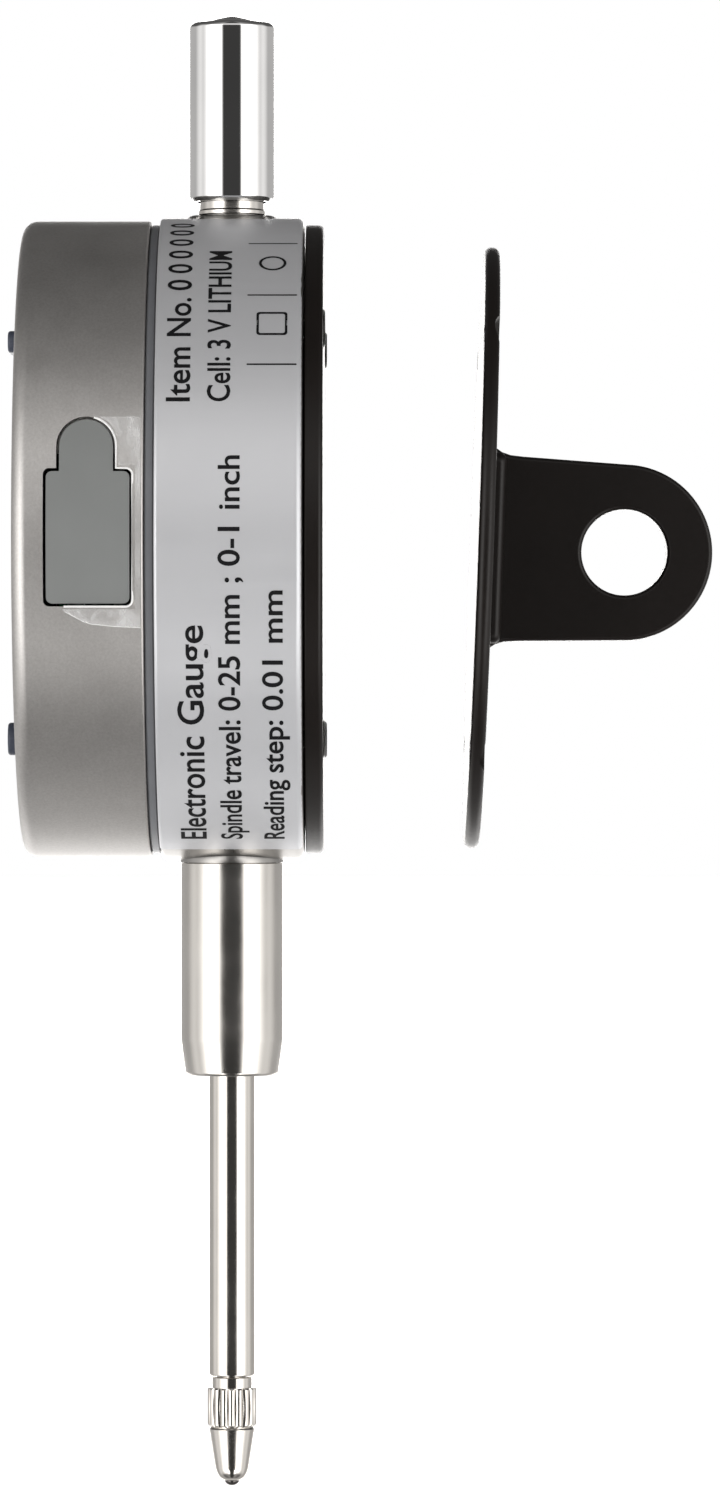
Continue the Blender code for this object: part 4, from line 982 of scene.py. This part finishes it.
def key_outline(x, z, grow=0.0, steps=6):
    """Give a key's outline; the keys of the upper row are flatter than the lower ones."""
    height = (2.0 if z > CENTRE_Z else 3.0) * MM + 2 * grow
    return rounded_rectangle((x, z), (KEY_WIDTH + 2 * grow, height), height / 2 - 0.01 * MM, steps)


def face_plate():
    """Make the front face with its window and the holes for the keys."""
    front = span("face_panel", "Y")[0]
    back = front + MM
    through = (front - MM, back + MM)
    radius = span("face_panel", "X")[1]
    edge = 0.15 * MM
    plate = turned([(0, back), (radius, back), (radius, front + edge), (radius - edge, front),
                    (0, front)], "Y", FINE)
    window = rounded_rectangle((0, 0), (38 * MM, 15 * MM), 1.5 * MM)
    plate = cut(plate, extruded(window, "Y", through))
    for number in range(1, 5):
        x, z = middle(f"button_{number}")
        hole = extruded(key_outline(x, z, KEY_GAP), "Y", through)
        plate = cut(plate, shifted(hole, (0, 0, -CENTRE_Z)))
    piece("face_plate", softened(plate, 0.1 * MM), "face_silver", "display", "face_silver",
          "face_panel")


def window_sheet():
    front, back = span("lens", "Y")
    sheet = extruded(rounded_rectangle((0, 0), (37.4 * MM, 14.4 * MM), 1.2 * MM), "Y",
                     (front, back))
    piece("window_sheet", softened(sheet, 0.1 * MM), "clear_window", "display",
          "clear_window", "lens")


def keys():
    """Make the four keys, each with the flange that holds it behind the face."""
    for number in range(1, 5):
        node = f"button_{number}"
        x, z = middle(node)
        front = span(node, "Y")[0]
        cap = extruded(key_outline(x, z, steps=10), "Y", (front, front + 2.9 * MM))
        cap = softened(cap, 0.45 * MM, 4, radians(50))
        flange = extruded(rounded_rectangle((x, z), (8.2 * MM, 4.4 * MM), 0.5 * MM), "Y",
                          (front + 2.65 * MM, front + 3.25 * MM))
        piece(f"key_{number}", combined(cap, flange, "UNION"), "button_blue_grey", node,
              "button_blue_grey", node, centred=False)


def zero_bars(height):
    """Give the place (x, z) and size of each bar of a seven-segment zero."""
    width = height * 0.52
    thick = height * 0.14
    level = (width - thick, thick)
    upright = (thick, height / 2 - thick)
    return [
        ((0, height / 2), level),
        ((width / 2, height / 4), upright),
        ((width / 2, -height / 4), upright),
        ((0, -height / 2), level),
        ((-width / 2, -height / 4), upright),
        ((-width / 2, height / 4), upright),
    ]


def display_digits():
    """Draw a zero reading, leaning slightly, on the display glass."""
    front = span("lcd_glass", "Y")[0]
    height = 9.0 * MM
    pitch = 7.2 * MM
    point = 0.9 * MM
    lean = 0.08
    bars = [((at * pitch + x, z), size) for at in (-1, 0, 1) for (x, z), size in zero_bars(height)]
    bars.append(((-0.5 * pitch, -height / 2), (point, point)))
    outlines = [rounded_rectangle((x + z * lean, z), size, min(size) * 0.3, 2)
                for (x, z), size in bars]
    reach = (front - 0.06 * MM, front - 0.02 * MM)
    shape = joined([extruded(outline, "Y", reach) for outline in outlines])
    piece("display_digits", shape, "ink", "display", "display_glass")


def front_words(name, words, height, place, front, body, slot):
    """Print words on a face that looks forward, centred over a place given by x and z."""
    shape = lettering(words, height * MM)
    width = max(vertex.co.x for vertex in shape.verts)
    for vertex in shape.verts:
        u, v, lift = vertex.co
        vertex.co = Vector((place[0] - width / 2 + u, front - lift, place[1] + v))
    piece(name, shape, "ink", body, slot)


# Place of each key's words (x, z) in millimetres from the middle of the face
KEY_WORDS = ((9.0, 14.3, "mm / in"), (-9.0, 14.3, "ON / OFF"), (9.0, -15.4, "ZERO"),
             (-9.0, -15.4, "HOLD"))


def face_print():
    """Print plain words beside the keys and a thin frame round the window."""
    front = span("face_panel", "Y")[0]
    for number, (x, z, words) in enumerate(KEY_WORDS, 1):
        front_words(f"key_words_{number}", words, 1.1, (x * MM, z * MM), front, "display",
                    "face_silver")
    border = flat_frame((41 * MM, 18 * MM, 2.6 * MM), (38.6 * MM, 15.6 * MM, 1.7 * MM), "Y",
                        (front - 0.03 * MM, front + 0.02 * MM))
    piece("window_border", border, "ink", "display", "face_silver")


def drawer_tray():
    """Make the battery drawer with a curved front, a pocket for the cell and a thumb groove."""
    tray_y = span("battery_tray", "Y")
    low_x, high_x = span("battery_tray", "X")
    radius = -low_x
    half = span("battery_tray", "Z")[1] - CENTRE_Z
    reach = asin(half / radius)
    outline = arc((0, 0), radius, pi - reach, pi + reach, 32)
    outline += [(high_x, -half), (high_x, half)]
    tray = extruded(outline, "Y", tray_y)
    battery_x = middle("battery")[0]
    pocket = arc((battery_x, 0), 10.3 * MM, 0, 2 * pi, MEDIUM)[:-1]
    tray = cut(tray, extruded(pocket, "Y", (tray_y[0] - MM, tray_y[1] + MM)))
    groove = rounded_rectangle((sum(tray_y) / 2, 0), (0.9 * MM, 12 * MM), 0.44 * MM)
    tray = cut(tray, extruded(groove, "X", (low_x - MM, low_x + 0.6 * MM)))
    piece("drawer_tray", softened(tray, 0.12 * MM), "black_polymer", "battery_drawer",
          "black_polymer", "battery_tray")


def coin_cell():
    """Make the cell with a stepped rim and plain marks on its face."""
    front, back = span("battery", "Y")
    radius = span("battery", "Z")[1] - CENTRE_Z
    x = middle("battery")[0]
    edge = 0.35 * MM
    profile = [(0, back), *arc((radius - edge, back - edge), edge, pi / 2, 0, 5),
               (radius, front + 0.6 * MM), (radius - 0.3 * MM, front + 0.5 * MM),
               (radius - 0.9 * MM, front + 0.45 * MM), (radius - 1.0 * MM, front), (0, front)]
    piece("coin_cell", shifted(turned(profile, "Y", MEDIUM), (x, 0, 0)),
          "battery_steel", "battery_drawer", "battery_steel", "battery")
    marks = ((6.0, 0.2, "+"), (1.7, -4.4, "3 V LITHIUM"))
    for number, (height, level, words) in enumerate(marks, 1):
        front_words(f"cell_mark_{number}", words, height, (x, level * MM), front,
                    "battery_drawer", "battery_steel")


# ---- Lug back ----


def lug_plate():
    """Make the lug back square to the case, then lean and lower it as it lies."""
    front, back = 22.6 * MM, 24.0 * MM
    centre_y = (front + back) / 2
    radius = (span("lug_back", "X")[1] - span("lug_back", "X")[0]) / 2
    half = 2.5 * MM
    hole_y, hole_radius, end_radius = 36.6 * MM, 4.0 * MM, 8.2 * MM
    edge = 0.62 * MM
    lean, drop = radians(-2), 0.8 * MM
    profile = [(0, back), *arc((radius - edge, back - edge), edge, pi / 2, 0, 6),
               *arc((radius - edge, front + edge), edge, 0, -pi / 2, 6), (0, front)]
    shape = turned(profile, "Y", FINE)
    pad = rounded_rectangle((0, 0), (7.4 * MM, 17.8 * MM), 1.0 * MM)
    pad = softened(extruded(pad, "Y", (centre_y, 25.3 * MM)), 0.6 * MM, 5)
    shape = combined(shape, pad, "UNION")
    tip = arc((hole_y, 0), end_radius, -pi / 2, pi / 2, 48)
    root = [(centre_y, 9.6 * MM), (24.3 * MM, 9.35 * MM), (24.9 * MM, 8.95 * MM),
            (25.7 * MM, 8.7 * MM), (26.9 * MM, 8.6 * MM)]
    lug = extruded([*reversed(root), *[(y, -z) for y, z in root], *tip], "X", (-half, half))
    hole = extruded(arc((hole_y, 0), hole_radius, 0, 2 * pi, MEDIUM)[:-1], "X",
                    (-2 * half, 2 * half))
    lug = softened(cut(lug, hole), 0.4 * MM, 4)
    shape = combined(shape, lug, "UNION")
    sink_radius, screw_radius = 2.4 * MM, 1.2 * MM
    sink = [(0, back + MM), (sink_radius, back + MM), (sink_radius, back + 0.3 * MM),
            (screw_radius, back - 0.9 * MM), (screw_radius, front - MM), (0, front - MM)]
    for node in COVER_SCREWS:
        x, z = middle(node)
        cutter = shifted(turned(sink, "Y", SMALL), (x, 0, z - CENTRE_Z))
        shape = cut(shape, cutter)
    shifted(shape, (0, -centre_y, 0))
    shape.transform(Matrix.Rotation(lean, 4, "X"))
    shifted(shape, (0, centre_y, -drop))
    piece("lug_plate", shape, "black_enamel", "lug_back", "black_enamel", "lug_back")


# ---- Frame nodes that stay ----


def dress_nodes():
    """Give every CAD node that stays on show its detailed material."""
    slots = {row["node"]: row["material_slot"] for row in frame["record"]["subparts"]}
    for name, item in frame["nodes"].items():
        item.data.materials.clear()
        item.data.materials.append(MATERIALS[slots[name]])


# ---- Floor, light and camera ----


def floor():
    """Lay a pale floor well below the object, out of its reflections."""
    made, graph = new_graph("pale_floor")
    speck = graph.noise(graph.place(), 0.05, 3.0)
    graph.surface(Base_Color=graph.blend(speck, (0.90, 0.90, 0.90, 1), (0.93, 0.93, 0.93, 1)),
                  Roughness=0.7, Emission_Color=(1, 1, 1, 1), Emission_Strength=0.72)
    low = span("contact_insert", "Z")[0] - 45 * MM
    half = 6.0
    shape = bmesh.new()
    shape.faces.new([shape.verts.new((across * half, up * half, low)) for across, up in CORNERS])
    mesh = bpy.data.meshes.new("floor")
    shape.to_mesh(mesh)
    shape.free()
    mesh.materials.append(made)
    item = added("floor", mesh)
    item.visible_glossy = False


def studio():
    """Light the scene from a white tent with a dark gap in front and a darker top.

    The camera sees plain white behind the object.
    """
    world = bpy.data.worlds.new("studio")
    bpy.context.scene.world = world
    world.use_nodes = True
    graph = Graph(world.node_tree)
    direction = graph.node("ShaderNodeSeparateXYZ")
    graph.feed(direction.inputs[0], graph.node("ShaderNodeTexCoord").outputs["Generated"])
    x, y, z = direction.outputs
    # The turn about the upright axis from the camera's side, the same to the left and right
    turn = graph.math("ARCTAN2", graph.math("ABSOLUTE", y), x)
    side = graph.product(
        graph.ramp(turn, radians(21.5), radians(34)),
        graph.ramp(turn, radians(40), radians(86), 1.0, 0.25),
        graph.ramp(turn, radians(90), radians(118), 1.0, 0.0),
        graph.ramp(z, 0.25, 0.65, 1.0, 0.07),
        graph.ramp(z, -0.80, -0.50, 0.10, 1.0),
    )
    low_fill = graph.product(
        graph.ramp(z, -0.84, -0.66, 0.0, 3.9),
        graph.ramp(z, -0.60, -0.50, 1.0, 0.0),
        graph.ramp(turn, radians(16), radians(22)),
    )
    high_fill = graph.product(
        graph.ramp(z, 0.18, 0.28, 0.0, 0.75),
        graph.ramp(z, 0.60, 0.85, 1.0, 0.0),
    )
    fill = graph.product(
        graph.math("ADD", low_fill, high_fill),
        graph.ramp(turn, radians(24), radians(38), 1.0, 0.0),
    )
    low_rear = graph.product(
        graph.ramp(z, -0.67, -0.59, 0.12, 1.5),
        graph.ramp(z, -0.30, -0.08, 1.0, 0.0),
        graph.ramp(turn, radians(138), radians(156)),
    )
    rear = graph.product(
        graph.ramp(turn, radians(82), radians(112)),
        graph.math("ADD", graph.ramp(z, 0.10, 0.35, 0.45, 0.04), low_rear),
    )
    backdrop = graph.ramp(x, -0.985, -0.965, 7.0, 0.0)
    level = graph.math("MULTIPLY_ADD", side, 3.1, 0.05)
    for light in (rear, backdrop, fill):
        level = graph.math("ADD", level, light)
    path = graph.node("ShaderNodeLightPath")
    lit = graph.node("ShaderNodeBackground")
    graph.feed(lit.inputs["Color"], (1.0, 0.985, 0.97, 1))
    graph.feed(lit.inputs["Strength"], level)
    seen = graph.node("ShaderNodeBackground")
    graph.feed(seen.inputs["Color"], (1, 1, 1, 1))
    seen.inputs["Strength"].default_value = 1.0
    mix = graph.node("ShaderNodeMixShader")
    graph.feed(mix.inputs[0], path.outputs["Is Camera Ray"])
    graph.feed(mix.inputs[1], lit.outputs[0])
    graph.feed(mix.inputs[2], seen.outputs[0])
    output = graph.node("ShaderNodeOutputWorld")
    graph.feed(output.inputs["Surface"], mix.outputs[0])


def camera():
    """Look level at the object's right side."""
    data = bpy.data.cameras.new("camera")
    data.sensor_fit = "VERTICAL"
    data.sensor_height = SENSOR
    data.lens = SENSOR * CAMERA_PLACE[0] / PICTURE_HEIGHT
    data.clip_start = 0.01
    item = added("camera", data)
    item.location = CAMERA_PLACE
    item.rotation_euler = (pi / 2, 0, pi / 2)
    bpy.context.scene.camera = item
    bpy.context.scene.view_settings.view_transform = "Standard"


MATERIALS = make_materials()
camera()
studio()
floor()
dress_nodes()
case_shell()
label_foil()
label_print()
cover_plate()
cover_screws()
groove_ring()
stem_sleeve()
neck_sleeve()
cap_shell()
spindle_rod()
contact_body()
contact_tip()
housing_shell()
port_plug()
film_strip()
film_edges()
face_plate()
window_sheet()
keys()
display_digits()
face_print()
drawer_tray()
coin_cell()
lug_plate()
